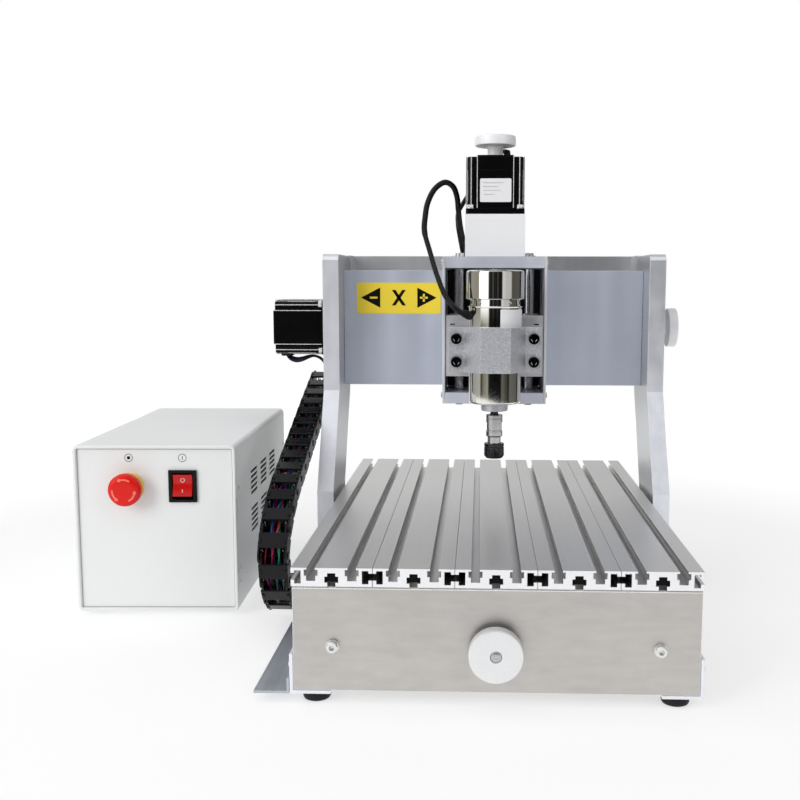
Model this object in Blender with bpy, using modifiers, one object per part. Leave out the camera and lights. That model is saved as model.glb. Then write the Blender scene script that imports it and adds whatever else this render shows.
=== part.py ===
"""Desktop gantry CNC router with a moving gantry, and the controller box that drives it.

Metres, +Z up, +X to the operator's right, +Y to the back. The pieces are laid out in the
machine's own coordinates: X = 0 is the middle of the table, Y = 0 the front face of the base
and Z = 0 the surface it stands on. One empty, machine_origin, then moves all of them so that
the object's frame has its origin at the bottom centre of the whole object's box.
"""

import math

import bmesh
import bpy
from mathutils import Matrix, Vector

# ---- Driving dimensions ------------------------------------------------------------------
GAP = 0.0003  # clearance between neighbours that touch
TABLE_Z = 0.103  # working surface above the floor
TABLE_LENGTH = 0.450
PROFILE_WIDTH = 0.060
PROFILE_HEIGHT = 0.014
PROFILE_COUNT = 5

FOOT_HEIGHT = 0.007
FOOT_RADIUS = 0.0105
FOOT_X = 0.1335
FOOT_INSET_Y = 0.0125

ANGLE_THICKNESS = 0.0027
ANGLE_LEG = 0.0305
ANGLE_OUTER_X = 0.152
BASE_PLATE_HALF_WIDTH = 0.149
BASE_PLATE_THICKNESS = 0.015
BASE_PLATE_CHAMFER = 0.001
TRAY_THICKNESS = 0.002
TRAY_EDGE_X = -0.179
TRAY_WIDE_X = -0.203
TRAY_STEP_Y = 0.200
TRAY_UPSTAND = 0.012

Y_ROD_X = 0.1196
Y_ROD_Z = 0.0445
Y_ROD_RADIUS = 0.008
Y_SCREW_Z = 0.043
SCREW_RADIUS = 0.006
SHAFT_RADIUS = 0.004
MOTOR_SHAFT_RADIUS = 0.0032
COUPLING_RADIUS = 0.0095

LEG_INNER_X = 0.154
LEG_THICKNESS = 0.016
LEG_DEPTH = 0.082
LEG_LOW_Y = 0.2405
LEG_HIGH_Y = 0.2893
LEG_BOTTOM_Z = 0.040
LEG_BEND_LOW_Z = 0.1077
LEG_BEND_HIGH_Z = 0.2015
LEG_TOP_Z = 0.3376
LEG_REAR_DROP = 0.0065
LEG_CHAMFER = 0.006
CARRIAGE_X = 0.001  # where the X carriage stands, a little right of the middle

PANEL_FRONT_Y = 0.328
PANEL_THICKNESS = 0.004
PANEL_LOW_Z = 0.2038
PANEL_TOP_Z = 0.3218
COVER_DEPTH = 0.030
COVER_SHEET = 0.0018

X_AXIS_Y = 0.343  # X screw, motor and handwheel
X_AXIS_Z = 0.2635
X_ROD_Y = 0.350
X_ROD_OFFSET_Z = 0.032
X_ROD_RADIUS = 0.006

Z_FRAME_FRONT_Y = 0.254
Z_FRAME_BACK_Y = 0.324
Z_FRAME_REACH_Y = 0.366
Z_FRAME_HALF_WIDTH = 0.050
Z_FRAME_SHEET = 0.0025
Z_PLATE_HEIGHT = 0.0107
Z_FRAME_LOW_Z = 0.193
Z_FRAME_TOP_Z = 0.3342
Z_AXIS_Y = 0.2905
Z_ROD_X = 0.0344
Z_ROD_RADIUS = 0.005
COUPLER_BOX_HALF = 0.0287
COUPLER_BOX_HEIGHT = 0.0402

SLIDE_HALF_WIDTH = 0.047
SLIDE_LOW_Z = 0.2195
SLIDE_TOP_Z = 0.278
SLIDE_FRONT_Y = 0.256
SLIDE_BACK_Y = 0.312

SPINDLE_Y = 0.222
SPINDLE_BODY_RADIUS = 0.0247
SPINDLE_CAN_RADIUS = 0.0268
SPINDLE_LOW_Z = 0.198
SPINDLE_RING_Z = 0.2867
SPINDLE_CAN_Z = 0.2945
SPINDLE_TOP_Z = 0.321
NOSE_RADIUS = 0.0126
NOSE_Z = 0.1908
CLAMP_LOW_Z = 0.228
CLAMP_TOP_Z = 0.2692
CLAMP_HALF_WIDTH = 0.042
CLAMP_EAR_Y = 0.208
CLAMP_FLAT_Y = 0.190
CLAMP_FACET_X = 0.028
CLAMP_FLAT_X = 0.0136

MOTOR_SIZE = 0.0564
MOTOR_LENGTH = 0.0535
MOTOR_FLANGE = 0.005
MOTOR_CAP = 0.0015
WHEEL_RADIUS = 0.020
WHEEL_THICKNESS = 0.0095
HUB_RADIUS = 0.0075

CHAIN_INNER_X = -0.173
CHAIN_WIDTH = 0.025
CHAIN_HEIGHT = 0.016
CABLE_RADIUS = 0.0033
LEAD_RADIUS = 0.0022

CONTROLLER_CORNER = (-0.236, 0.189)  # right front corner of its case
CONTROLLER_TURN = math.radians(2.0)
CASE_WIDTH = 0.150
CASE_DEPTH = 0.272
CASE_LOW_Z = 0.004
CASE_TOP_Z = 0.161
CASE_WALL = 0.0018
CASE_RADIUS = 0.005
CONTROLLER_PANEL_RECESS = 0.003
CONTROLLER_PANEL_SHEET = 0.0015
ESTOP_X = -0.0989
ESTOP_Z = 0.1217
ESTOP_TRAVEL_GAP = 0.0044
SWITCH_X = -0.0495
SWITCH_Z = 0.1228
SWITCH_TILT = math.radians(8.0)
SWITCH_PIVOT_Y = 0.006

# ---- Values worked out from the driving dimensions -----------------------------------------
FLANGE_Z = FOOT_HEIGHT + GAP
PLATE_LOW_Z = FLANGE_Z + ANGLE_THICKNESS + GAP
PROFILE_LOW_Z = TABLE_Z - PROFILE_HEIGHT
LEG_OUTER_X = LEG_INNER_X + LEG_THICKNESS
LEG_MIDDLE_Y = LEG_LOW_Y + LEG_DEPTH / 2
Z_TOP_PLATE_LOW_Z = Z_FRAME_TOP_Z - Z_PLATE_HEIGHT
Z_BOTTOM_PLATE_TOP_Z = Z_FRAME_LOW_Z + Z_PLATE_HEIGHT
COUPLER_BOX_Z = Z_FRAME_TOP_Z + GAP
Z_MOTOR_Z = COUPLER_BOX_Z + COUPLER_BOX_HEIGHT + GAP
MOTOR_TOTAL = MOTOR_LENGTH + MOTOR_CAP
HUB_LENGTH_X = 0.0107
HUB_LENGTH_Y = 0.0052
HUB_LENGTH_Z = 0.0112
Z_WHEEL_TOP_Z = Z_MOTOR_Z + MOTOR_TOTAL + GAP + HUB_LENGTH_Z + WHEEL_THICKNESS
X_WHEEL_END_X = LEG_OUTER_X + GAP + HUB_LENGTH_X + WHEEL_THICKNESS
Y_WHEEL_END_Y = -(GAP + HUB_LENGTH_Y + WHEEL_THICKNESS)
Y_MOTOR_END_Y = TABLE_LENGTH + GAP + MOTOR_TOTAL
CASE_LEFT_X = (
    CONTROLLER_CORNER[0]
    - CASE_WIDTH * math.cos(CONTROLLER_TURN)
    - CASE_DEPTH * math.sin(CONTROLLER_TURN)
)
OBJECT_MIDDLE_X = (CASE_LEFT_X + X_WHEEL_END_X) / 2
OBJECT_MIDDLE_Y = (Y_WHEEL_END_Y + Y_MOTOR_END_Y) / 2

# Colour, roughness and metallic value of each finish
FINISHES = {
    "anodised_aluminium": ((0.74, 0.75, 0.77), 0.38, 1.0),
    "milled_aluminium": ((0.80, 0.81, 0.84), 0.30, 1.0),
    "brushed_aluminium": ((0.66, 0.65, 0.64), 0.42, 1.0),
    "blue_grey_anodised": ((0.55, 0.59, 0.68), 0.45, 1.0),
    "bright_steel": ((0.78, 0.78, 0.79), 0.18, 1.0),
    "chrome": ((0.86, 0.86, 0.84), 0.06, 1.0),
    "black_steel": ((0.02, 0.02, 0.022), 0.35, 0.6),
    "black_enamel": ((0.012, 0.012, 0.014), 0.30, 0.0),
    "black_plastic": ((0.02, 0.02, 0.022), 0.50, 0.0),
    "black_rubber": ((0.015, 0.015, 0.015), 0.85, 0.0),
    "white_powder_coat": ((0.82, 0.83, 0.82), 0.45, 0.0),
    "red_plastic": ((0.80, 0.03, 0.02), 0.30, 0.0),
    "yellow_plastic": ((0.90, 0.62, 0.05), 0.40, 0.0),
}

CYLINDER_SIDES = 32
SMALL_SIDES = 20

# Turns an outline drawn in XY so that it lies in YZ and is extruded along X, or in XZ along Y
ALONG_X = (math.pi / 2, 0.0, math.pi / 2)
ALONG_Y = (math.pi / 2, 0.0, 0.0)
ALONG_Z = (0.0, 0.0, 0.0)
# Turns a shape made round +Z so that its +Z end points along +X, -X, +Y or -Y
AIM_X = (0.0, math.pi / 2, 0.0)
AIM_MINUS_X = (0.0, -math.pi / 2, 0.0)
AIM_Y = (-math.pi / 2, 0.0, 0.0)
AIM_MINUS_Y = (math.pi / 2, 0.0, 0.0)


# ---- Scene, materials and parents -----------------------------------------------------------
def clear_scene():
    for obj in list(bpy.data.objects):
        bpy.data.objects.remove(obj, do_unlink=True)


def make_collection(name):
    collection = bpy.data.collections.new(name)
    bpy.context.scene.collection.children.link(collection)
    return collection


def make_material(name, colour, roughness, metallic):
    material = bpy.data.materials.new(name)
    material.use_nodes = True
    shader = material.node_tree.nodes["Principled BSDF"]
    shader.inputs["Base Color"].default_value = (*colour, 1.0)
    shader.inputs["Roughness"].default_value = roughness
    shader.inputs["Metallic"].default_value = metallic
    return material


clear_scene()
PARTS = make_collection("cnc_router")
CUTTERS = make_collection("cutters")
MATERIALS = {name: make_material(name, *finish) for name, finish in FINISHES.items()}


def make_empty(name, location, parent=None, turn=0.0):
    """An empty at a place in its parent's coordinates, such as a point on a joint's axis."""
    empty = bpy.data.objects.new(name, None)
    PARTS.objects.link(empty)
    empty.parent = parent
    empty.location = location
    empty.rotation_euler = (0.0, 0.0, turn)
    return empty


MACHINE = make_empty("machine_origin", (-OBJECT_MIDDLE_X, -OBJECT_MIDDLE_Y, 0.0))
CONTROLLER = make_empty("controller_origin", (*CONTROLLER_CORNER, 0.0), MACHINE, CONTROLLER_TURN)
GANTRY = make_empty("gantry_axis", (0.0, LEG_MIDDLE_Y, Y_ROD_Z), MACHINE)
X_CARRIAGE = make_empty("x_carriage_axis", (0.0, X_ROD_Y, X_AXIS_Z), MACHINE)
Z_SLIDE = make_empty("z_slide_axis", (0.0, Z_AXIS_Y, SLIDE_LOW_Z), MACHINE)
Y_SCREW = make_empty("y_screw_axis", (0.0, 0.0, Y_SCREW_Z), MACHINE)
X_SCREW = make_empty("x_screw_axis", (0.0, X_AXIS_Y, X_AXIS_Z), MACHINE)
Z_SCREW = make_empty("z_screw_axis", (0.0, Z_AXIS_Y, Z_FRAME_TOP_Z), MACHINE)
SPINDLE = make_empty("spindle_axis", (0.0, SPINDLE_Y, NOSE_Z), MACHINE)


def attach(obj, parent):
    """Parents a piece while its location stays in machine (or controller) coordinates."""
    obj.parent = parent
    if parent not in (MACHINE, CONTROLLER):
        obj.matrix_parent_inverse = Matrix.Translation(-parent.location)


def add_object(name, mesh, parent, finish=None, location=(0, 0, 0), rotation=ALONG_Z):
    obj = bpy.data.objects.new(name, mesh)
    obj.location = location
    obj.rotation_euler = rotation
    attach(obj, parent)
    if finish is None:
        CUTTERS.objects.link(obj)
        obj.hide_render = True
        obj.display_type = "WIRE"
    else:
        PARTS.objects.link(obj)
        mesh.materials.append(MATERIALS[finish])
    return obj


# ---- Shapes: a piece with a finish is a part, and one without is a cutter ---------------------
def block(name, x, y, z, parent, finish=None):
    """A box between two values on each axis."""
    mesh = bpy.data.meshes.new(name)
    bm = bmesh.new()
    bmesh.ops.create_cube(bm, size=1.0)
    size = Vector((x[1] - x[0], y[1] - y[0], z[1] - z[0]))
    bmesh.ops.scale(bm, vec=size, verts=bm.verts)
    bm.to_mesh(mesh)
    bm.free()
    middle = ((x[0] + x[1]) / 2, (y[0] + y[1]) / 2, (z[0] + z[1]) / 2)
    return add_object(name, mesh, parent, finish, middle)


def cylinder(name, radius, start, length, parent, finish=None, aim=ALONG_Z, sides=SMALL_SIDES):
    """A cylinder from start, along +Z or the way that aim turns it."""
    mesh = bpy.data.meshes.new(name)
    bm = bmesh.new()
    bmesh.ops.create_cone(bm, cap_ends=True, segments=sides, radius1=radius,
                          radius2=radius, depth=length)
    bmesh.ops.translate(bm, vec=(0, 0, length / 2), verts=bm.verts)
    bm.to_mesh(mesh)
    bm.free()
    shade_round(mesh)
    return add_object(name, mesh, parent, finish, start, aim)


def turned(name, profile, location, parent, finish, aim=ALONG_Z, sides=CYLINDER_SIDES, bore=0.0):
    """A turned solid: (radius, height) points from the top down its outer side."""
    points = list(profile)
    if bore:
        points += [(bore, profile[-1][1]), (bore, profile[0][1])]
    else:
        points = [(0.0, profile[0][1])] + points + [(0.0, profile[-1][1])]
    mesh = bpy.data.meshes.new(name)
    edges = [(i, i + 1) for i in range(len(points) - 1)]
    if bore:
        edges.append((len(points) - 1, 0))
    mesh.from_pydata([(r, 0.0, z) for r, z in points], edges, [])
    obj = add_object(name, mesh, parent, finish, location, aim)
    screw = obj.modifiers.new("turn", "SCREW")
    screw.steps = sides
    screw.render_steps = sides
    screw.use_merge_vertices = True
    screw.merge_threshold = 0.00001
    screw.use_smooth_shade = False
    return obj


def outline(name, points, middle, thickness, parent, finish=None, turn=ALONG_Z):
    """A flat outline made solid, with half of its thickness on each side of middle."""
    mesh = bpy.data.meshes.new(name)
    bm = bmesh.new()
    low = [bm.verts.new((u, v, -thickness / 2)) for u, v in points]
    high = [bm.verts.new((u, v, thickness / 2)) for u, v in points]
    bm.faces.new(low)
    bm.faces.new(high)
    for index in range(len(points)):
        after = (index + 1) % len(points)
        bm.faces.new((low[index], low[after], high[after], high[index]))
    bmesh.ops.recalc_face_normals(bm, faces=bm.faces)
    bm.to_mesh(mesh)
    bm.free()
    shade_round(mesh)
    return add_object(name, mesh, parent, finish, middle, turn)


def tube(name, route, radius, parent, finish):
    """A cord's tube along a smooth curve through the route's own points."""
    curve = bpy.data.curves.new(name, "CURVE")
    curve.dimensions = "3D"
    curve.bevel_depth = radius
    curve.bevel_resolution = 2
    curve.use_fill_caps = True
    points = smooth_route(route, 3)
    spline = curve.splines.new("POLY")
    spline.points.add(len(points) - 1)
    for point, place in zip(spline.points, points):
        point.co = (*place, 1.0)
    source = bpy.data.objects.new(name + "_curve", curve)
    bpy.context.scene.collection.objects.link(source)
    graph = bpy.context.evaluated_depsgraph_get()
    mesh = bpy.data.meshes.new_from_object(source.evaluated_get(graph))
    mesh.name = name
    bpy.data.objects.remove(source, do_unlink=True)
    bm = bmesh.new()
    bm.from_mesh(mesh)
    bmesh.ops.remove_doubles(bm, verts=bm.verts, dist=0.00001)
    bmesh.ops.recalc_face_normals(bm, faces=bm.faces)
    bm.to_mesh(mesh)
    bm.free()
    shade_round(mesh)
    return add_object(name, mesh, parent, finish)


def shade_round(mesh):
    mesh.shade_smooth()
    mesh.set_sharp_from_angle(angle=math.radians(35))


def combine(obj, other, operation):
    """Cuts other from a piece, or joins it on, with a Boolean modifier."""
    modifier = obj.modifiers.new(other.name, "BOOLEAN")
    modifier.operation = operation
    modifier.object = other
    modifier.solver = "EXACT"
    return obj


def cut(obj, *cutters):
    for cutter in cutters:
        combine(obj, cutter, "DIFFERENCE")
    return obj


def join(obj, *others):
    for other in others:
        combine(obj, other, "UNION")
    return obj


def smooth_route(points, steps):
    """Points on a Catmull-Rom curve through the given ones."""
    points = [Vector(point) for point in points]
    ends = [2 * points[0] - points[1]] + points + [2 * points[-1] - points[-2]]
    route = []
    for a, b, c, d in zip(ends, ends[1:], ends[2:], ends[3:]):
        for step in range(steps):
            t = step / steps
            route.append(0.5 * (2 * b + (c - a) * t + (2 * a - 5 * b + 4 * c - d) * t * t
                                + (3 * b - 3 * c + d - a) * t ** 3))
    return route + [points[-1]]


def mirrored(points):
    """The right half of an outline, completed with its mirror image in X."""
    return points + [(-x, y) for x, y in reversed(points)]


# ---- Base, table and feet -------------------------------------------------------------------
def make_feet():
    for row, y in (("front", FOOT_INSET_Y), ("rear", TABLE_LENGTH - FOOT_INSET_Y)):
        for side, x in (("left", -FOOT_X), ("right", FOOT_X)):
            cylinder(f"foot_{row}_{side}", FOOT_RADIUS, (x, y, 0.0), FOOT_HEIGHT, MACHINE,
                     "black_rubber")


def make_side_angles():
    t, leg, outer = ANGLE_THICKNESS, ANGLE_LEG, ANGLE_OUTER_X
    for side, sign in (("left", -1), ("right", 1)):
        points = [(outer, 0.0), (outer, leg), (outer - t, leg), (outer - t, t),
                  (outer - leg, t), (outer - leg, 0.0)]
        points = [(sign * x, z + FLANGE_Z) for x, z in points]
        outline(f"side_angle_{side}", points, (0.0, TABLE_LENGTH / 2, 0.0), TABLE_LENGTH,
                MACHINE, "milled_aluminium", ALONG_Y)


def make_tray():
    """The thin plate beside the base that carries the drag chain's fixed end."""
    edge = -(ANGLE_OUTER_X + GAP)
    points = [(edge, 0.0), (edge, TABLE_LENGTH), (TRAY_WIDE_X, TABLE_LENGTH),
              (TRAY_WIDE_X, TRAY_STEP_Y), (TRAY_EDGE_X, TRAY_STEP_Y - 0.012),
              (TRAY_EDGE_X, 0.0)]
    tray = outline("chain_tray", points, (0, 0, FLANGE_Z + TRAY_THICKNESS / 2), TRAY_THICKNESS,
                   MACHINE, "brushed_aluminium")
    upstand = block("tray_upstand", (edge - TRAY_THICKNESS, edge), (0.0, TABLE_LENGTH),
                    (FLANGE_Z, FLANGE_Z + TRAY_UPSTAND), MACHINE)
    join(tray, upstand)


def make_base_plates():
    """The front and rear plates; rod screws and the Y screw pass through them."""
    far = TABLE_LENGTH - BASE_PLATE_THICKNESS
    top, edge = PROFILE_LOW_Z - GAP, BASE_PLATE_CHAMFER
    for name, low_y, outer in (("base_front_plate", 0.0, -1), ("base_rear_plate", far, 1)):
        half = BASE_PLATE_THICKNESS / 2
        middle_y = low_y + half
        points = [(middle_y + outer * half, PLATE_LOW_Z), (middle_y + outer * half, top - edge),
                  (middle_y + outer * (half - edge), top), (middle_y - outer * half, top),
                  (middle_y - outer * half, PLATE_LOW_Z)]
        plate = outline(name, points, (0.0, 0.0, 0.0), 2 * BASE_PLATE_HALF_WIDTH, MACHINE,
                        "brushed_aluminium", ALONG_X)
        start = low_y - 0.01
        length = BASE_PLATE_THICKNESS + 0.02
        holes = [cylinder(name + "_screw_hole", SCREW_RADIUS + 0.0005, (0, start, Y_SCREW_Z),
                          length, MACHINE, aim=AIM_Y)]
        for x in (-Y_ROD_X, Y_ROD_X):
            holes.append(cylinder(name + "_rod_hole", 0.0029, (x, start, Y_ROD_Z), length,
                                  MACHINE, aim=AIM_Y, sides=12))
        cut(plate, *holes)


def profile_half():
    """Right half of one extrusion's section: T-slot on top, H cavity at the side, slot below."""
    top, low = PROFILE_HEIGHT, 0.0
    slot = PROFILE_WIDTH / 4
    neck, wings, recess = 0.003, 0.005, 0.0033
    side = PROFILE_WIDTH / 2 - GAP / 2
    lip, cavity = side - 0.00275, side - 0.0074
    return [
        (0.00295, low), (side, low), (side, top - 0.0090), (lip, top - 0.0090),
        (lip, top - 0.0118), (cavity, top - 0.0118), (cavity, top - 0.0021),
        (lip, top - 0.0021), (lip, top - 0.0040), (side, top - 0.0040), (side, top),
        (slot + neck, top), (slot + neck, top - 0.0015), (slot + wings, top - 0.0015),
        (slot + wings, top - 0.0059), (slot + recess, top - 0.0059),
        (slot + recess, top - 0.0097), (slot - recess, top - 0.0097),
        (slot - recess, top - 0.0059), (slot - wings, top - 0.0059),
        (slot - wings, top - 0.0015), (slot - neck, top - 0.0015), (slot - neck, top),
    ]


def make_table():
    half = profile_half()
    slot_below = [(-0.00295, 0.0), (-0.00295, 0.0031), (-0.005, 0.0031), (-0.005, 0.0075),
                  (-0.00295, 0.0075), (-0.00295, 0.0100), (0.00295, 0.0100),
                  (0.00295, 0.0075), (0.005, 0.0075), (0.005, 0.0031), (0.00295, 0.0031)]
    section = mirrored(half) + slot_below
    for index in range(PROFILE_COUNT):
        middle_x = (index - (PROFILE_COUNT - 1) / 2) * PROFILE_WIDTH
        outline(f"table_profile_{index + 1}", section,
                (middle_x, TABLE_LENGTH / 2, PROFILE_LOW_Z), TABLE_LENGTH, MACHINE,
                "anodised_aluminium", ALONG_Y)


# ---- Motors, screws, rods and handwheels ------------------------------------------------------
def motor_section():
    """A stepper's cross-section: four proud faces, with a shallow step and cut corners."""
    half, face, step, corner = MOTOR_SIZE / 2, 0.0175, 0.0015, 0.004
    low = half - step
    quarter = [(half, face), (low, face), (low, low - corner), (low - corner, low),
               (face, low), (face, half)]
    section = []
    for turn in range(4):
        for x, y in quarter:
            for _ in range(turn):
                x, y = -y, x
            section.append((x, y))
    return section


def make_motor(name, start, aim, parent, through):
    """A stepper motor whose flange starts at start and whose body runs along aim."""
    direction = Matrix.Rotation(0, 3, "X")
    for axis, angle in zip("XYZ", aim):
        direction = Matrix.Rotation(angle, 3, axis) @ direction
    forward = direction @ Vector((0, 0, 1))
    half = MOTOR_SIZE / 2
    square = [(half, -half), (half, half), (-half, half), (-half, -half)]
    centre = Vector(start)
    body = outline(name, motor_section(), centre + forward * (MOTOR_LENGTH / 2),
                   MOTOR_LENGTH, parent, "black_enamel", aim)
    flange = outline(name + "_flange", square, centre + forward * (MOTOR_FLANGE / 2),
                     MOTOR_FLANGE, parent, turn=aim)
    cap = outline(name + "_cap", [(x * 0.62, y) for x, y in square],
                  centre + forward * (MOTOR_TOTAL - 0.004), 0.008, parent, turn=aim)
    bore_length = MOTOR_TOTAL + 0.02 if through else 0.035
    bore = cylinder(name + "_bore", MOTOR_SHAFT_RADIUS + 0.0004, centre - forward * 0.01,
                    bore_length, parent, aim=aim)
    cut(join(body, flange, cap), bore)


def make_handwheel(name, hub_start, aim, hub_length, parent, bore):
    """A turned aluminium handwheel; its hub starts at the machine and its rim is chamfered."""
    rim, chamfer, length = WHEEL_RADIUS, 0.001, hub_length + WHEEL_THICKNESS
    profile = [(rim - chamfer, length), (rim, length - chamfer), (rim, hub_length + chamfer),
               (rim - chamfer, hub_length), (HUB_RADIUS, hub_length), (HUB_RADIUS, 0.0)]
    turned(name, profile, hub_start, parent, "milled_aluminium", aim, bore=bore)


def stepped_shaft(steps):
    """The outer side of a shaft, from (radius, start, end) steps given from the top down."""
    profile = []
    for radius, high, low in steps:
        profile += [(radius, high), (radius, low)]
    return profile


def make_y_drive():
    far = TABLE_LENGTH - BASE_PLATE_THICKNESS
    for side, x in (("left", -Y_ROD_X), ("right", Y_ROD_X)):
        steps = [(0.00435, TABLE_LENGTH + 0.0053, TABLE_LENGTH + GAP),
                 (0.0025, TABLE_LENGTH + GAP, far - GAP),
                 (Y_ROD_RADIUS, far - GAP, BASE_PLATE_THICKNESS + GAP),
                 (0.0025, BASE_PLATE_THICKNESS + GAP, -GAP), (0.00435, -GAP, -0.0053)]
        turned(f"y_rod_{side}", stepped_shaft(steps), (x, 0.0, Y_ROD_Z), MACHINE,
               "bright_steel", AIM_Y, sides=SMALL_SIDES)

    steps = [(MOTOR_SHAFT_RADIUS, 0.4700, 0.4335), (COUPLING_RADIUS, 0.4335, 0.4090),
             (SHAFT_RADIUS, 0.4090, 0.3990), (SCREW_RADIUS, 0.3990, 0.0100),
             (SHAFT_RADIUS, 0.0100, Y_WHEEL_END_Y)]
    turned("y_screw", stepped_shaft(steps), (0.0, 0.0, Y_SCREW_Z), Y_SCREW, "bright_steel",
           AIM_Y, sides=SMALL_SIDES)
    make_handwheel("y_handwheel", (0.0, -GAP, Y_SCREW_Z), AIM_MINUS_Y, HUB_LENGTH_Y, Y_SCREW,
                   SHAFT_RADIUS + GAP)
    make_motor("y_motor", (0.0, TABLE_LENGTH + GAP, Y_SCREW_Z), AIM_Y, MACHINE, False)

    housing = block("y_screw_housing", (-0.025, 0.025), (0.4000, far - GAP), (0.0180, 0.0640),
                    MACHINE, "milled_aluminium")
    cut(housing,
        cylinder("housing_cavity", 0.0120, (0, 0.4080, Y_SCREW_Z), 0.04, MACHINE, aim=AIM_Y),
        cylinder("housing_hole", SHAFT_RADIUS + 0.0005, (0, 0.39, Y_SCREW_Z), 0.03, MACHINE,
                 aim=AIM_Y))


def make_x_drive():
    for name, offset in (("x_rod_lower", -X_ROD_OFFSET_Z), ("x_rod_upper", X_ROD_OFFSET_Z)):
        cylinder(name, X_ROD_RADIUS, (-LEG_INNER_X + GAP, X_ROD_Y, X_AXIS_Z + offset),
                 2 * (LEG_INNER_X - GAP), GANTRY, "bright_steel", AIM_X)
    steps = [(SHAFT_RADIUS, X_WHEEL_END_X, LEG_INNER_X - 0.0015),
             (SCREW_RADIUS, LEG_INNER_X - 0.0015, -0.1500),
             (COUPLING_RADIUS, -0.1500, -LEG_OUTER_X + 0.0006),
             (MOTOR_SHAFT_RADIUS, -LEG_OUTER_X + 0.0006, -0.1950)]
    turned("x_screw", stepped_shaft(steps), (0.0, X_AXIS_Y, X_AXIS_Z), X_SCREW,
           "bright_steel", AIM_X, sides=SMALL_SIDES)
    make_handwheel("x_handwheel", (LEG_OUTER_X + GAP, X_AXIS_Y, X_AXIS_Z), AIM_X, HUB_LENGTH_X,
                   X_SCREW, SHAFT_RADIUS + GAP)
    make_motor("x_motor", (-LEG_OUTER_X - GAP, X_AXIS_Y, X_AXIS_Z), AIM_MINUS_X, GANTRY, False)


def make_z_drive():
    low, high = Z_BOTTOM_PLATE_TOP_Z + GAP, Z_TOP_PLATE_LOW_Z - GAP
    head_low = Z_FRAME_TOP_Z + GAP
    for side, x in (("left", -Z_ROD_X), ("right", Z_ROD_X)):
        steps = [(0.0043, head_low + 0.0040, head_low), (0.0025, head_low, high),
                 (Z_ROD_RADIUS, high, low)]
        turned(f"z_rod_{side}", stepped_shaft(steps), (x, Z_AXIS_Y, 0.0), X_CARRIAGE,
               "bright_steel", sides=SMALL_SIDES)
    steps = [(MOTOR_SHAFT_RADIUS, Z_WHEEL_TOP_Z, 0.3655), (COUPLING_RADIUS, 0.3655, 0.3400),
             (SHAFT_RADIUS, 0.3400, high), (0.005, high, low),
             (SHAFT_RADIUS, low, Z_FRAME_LOW_Z + 0.0010)]
    turned("z_screw", stepped_shaft(steps), (0.0, Z_AXIS_Y, 0.0), Z_SCREW, "bright_steel",
           sides=SMALL_SIDES)
    make_handwheel("z_handwheel", (0.0, Z_AXIS_Y, Z_MOTOR_Z + MOTOR_TOTAL + GAP), ALONG_Z,
                   HUB_LENGTH_Z, Z_SCREW, MOTOR_SHAFT_RADIUS + GAP)
    make_motor("z_motor", (0.0, Z_AXIS_Y, Z_MOTOR_Z), ALONG_Z, X_CARRIAGE, True)


# ---- Gantry -----------------------------------------------------------------------------------
def make_gantry_sides():
    lean = LEG_HIGH_Y - LEG_LOW_Y
    drop, back = LEG_REAR_DROP, LEG_DEPTH
    points = [
        (LEG_LOW_Y, LEG_BOTTOM_Z), (LEG_LOW_Y + back, LEG_BOTTOM_Z),
        (LEG_LOW_Y + back, LEG_BEND_LOW_Z - drop),
        (LEG_LOW_Y + lean + back, LEG_BEND_HIGH_Z - drop), (LEG_HIGH_Y + back, LEG_TOP_Z),
        (LEG_HIGH_Y + LEG_CHAMFER, LEG_TOP_Z),
        (LEG_HIGH_Y + 0.35 * LEG_CHAMFER, LEG_TOP_Z - 0.4 * LEG_CHAMFER),
        (LEG_HIGH_Y, LEG_TOP_Z - LEG_CHAMFER),
        (LEG_HIGH_Y, LEG_BEND_HIGH_Z), (LEG_LOW_Y, LEG_BEND_LOW_Z),
    ]
    middle_x = LEG_INNER_X + LEG_THICKNESS / 2
    for side, sign, hole in (("left", -1, 0.0125), ("right", 1, SCREW_RADIUS + 0.0005)):
        plate = outline(f"gantry_side_{side}", points, (sign * middle_x, 0, 0), LEG_THICKNESS,
                        GANTRY, "milled_aluminium", ALONG_X)
        cut(plate, cylinder(f"side_hole_{side}", hole,
                            (sign * middle_x - 0.015, X_AXIS_Y, X_AXIS_Z), 0.03, GANTRY,
                            aim=AIM_X))


def make_gantry_base():
    """The plate under the table that joins the sides, its two slide bearings and the nut."""
    inner = LEG_INNER_X - GAP
    low_z, high_z = 0.066, 0.076
    block("gantry_base_plate", (-inner, inner), (LEG_LOW_Y + 0.004, LEG_LOW_Y + 0.078),
          (low_z, high_z), GANTRY, "brushed_aluminium")
    top = low_z - GAP
    for side, x in (("left", -Y_ROD_X), ("right", Y_ROD_X)):
        bearing = block(f"y_bearing_{side}", (x - 0.025, x + 0.025),
                        (LEG_MIDDLE_Y - 0.0225, LEG_MIDDLE_Y + 0.0225), (0.027, top), GANTRY,
                        "milled_aluminium")
        cut(bearing, cylinder(f"bearing_bore_{side}", Y_ROD_RADIUS + GAP,
                              (x, LEG_MIDDLE_Y - 0.03, Y_ROD_Z), 0.06, GANTRY, aim=AIM_Y))
    nut = block("y_nut_block", (-0.020, 0.020), (LEG_MIDDLE_Y - 0.020, LEG_MIDDLE_Y + 0.020),
                (0.028, top), GANTRY, "milled_aluminium")
    cut(nut, cylinder("nut_bore", SCREW_RADIUS + 0.0004, (0, LEG_MIDDLE_Y - 0.03, Y_SCREW_Z),
                      0.06, GANTRY, aim=AIM_Y))


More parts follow.
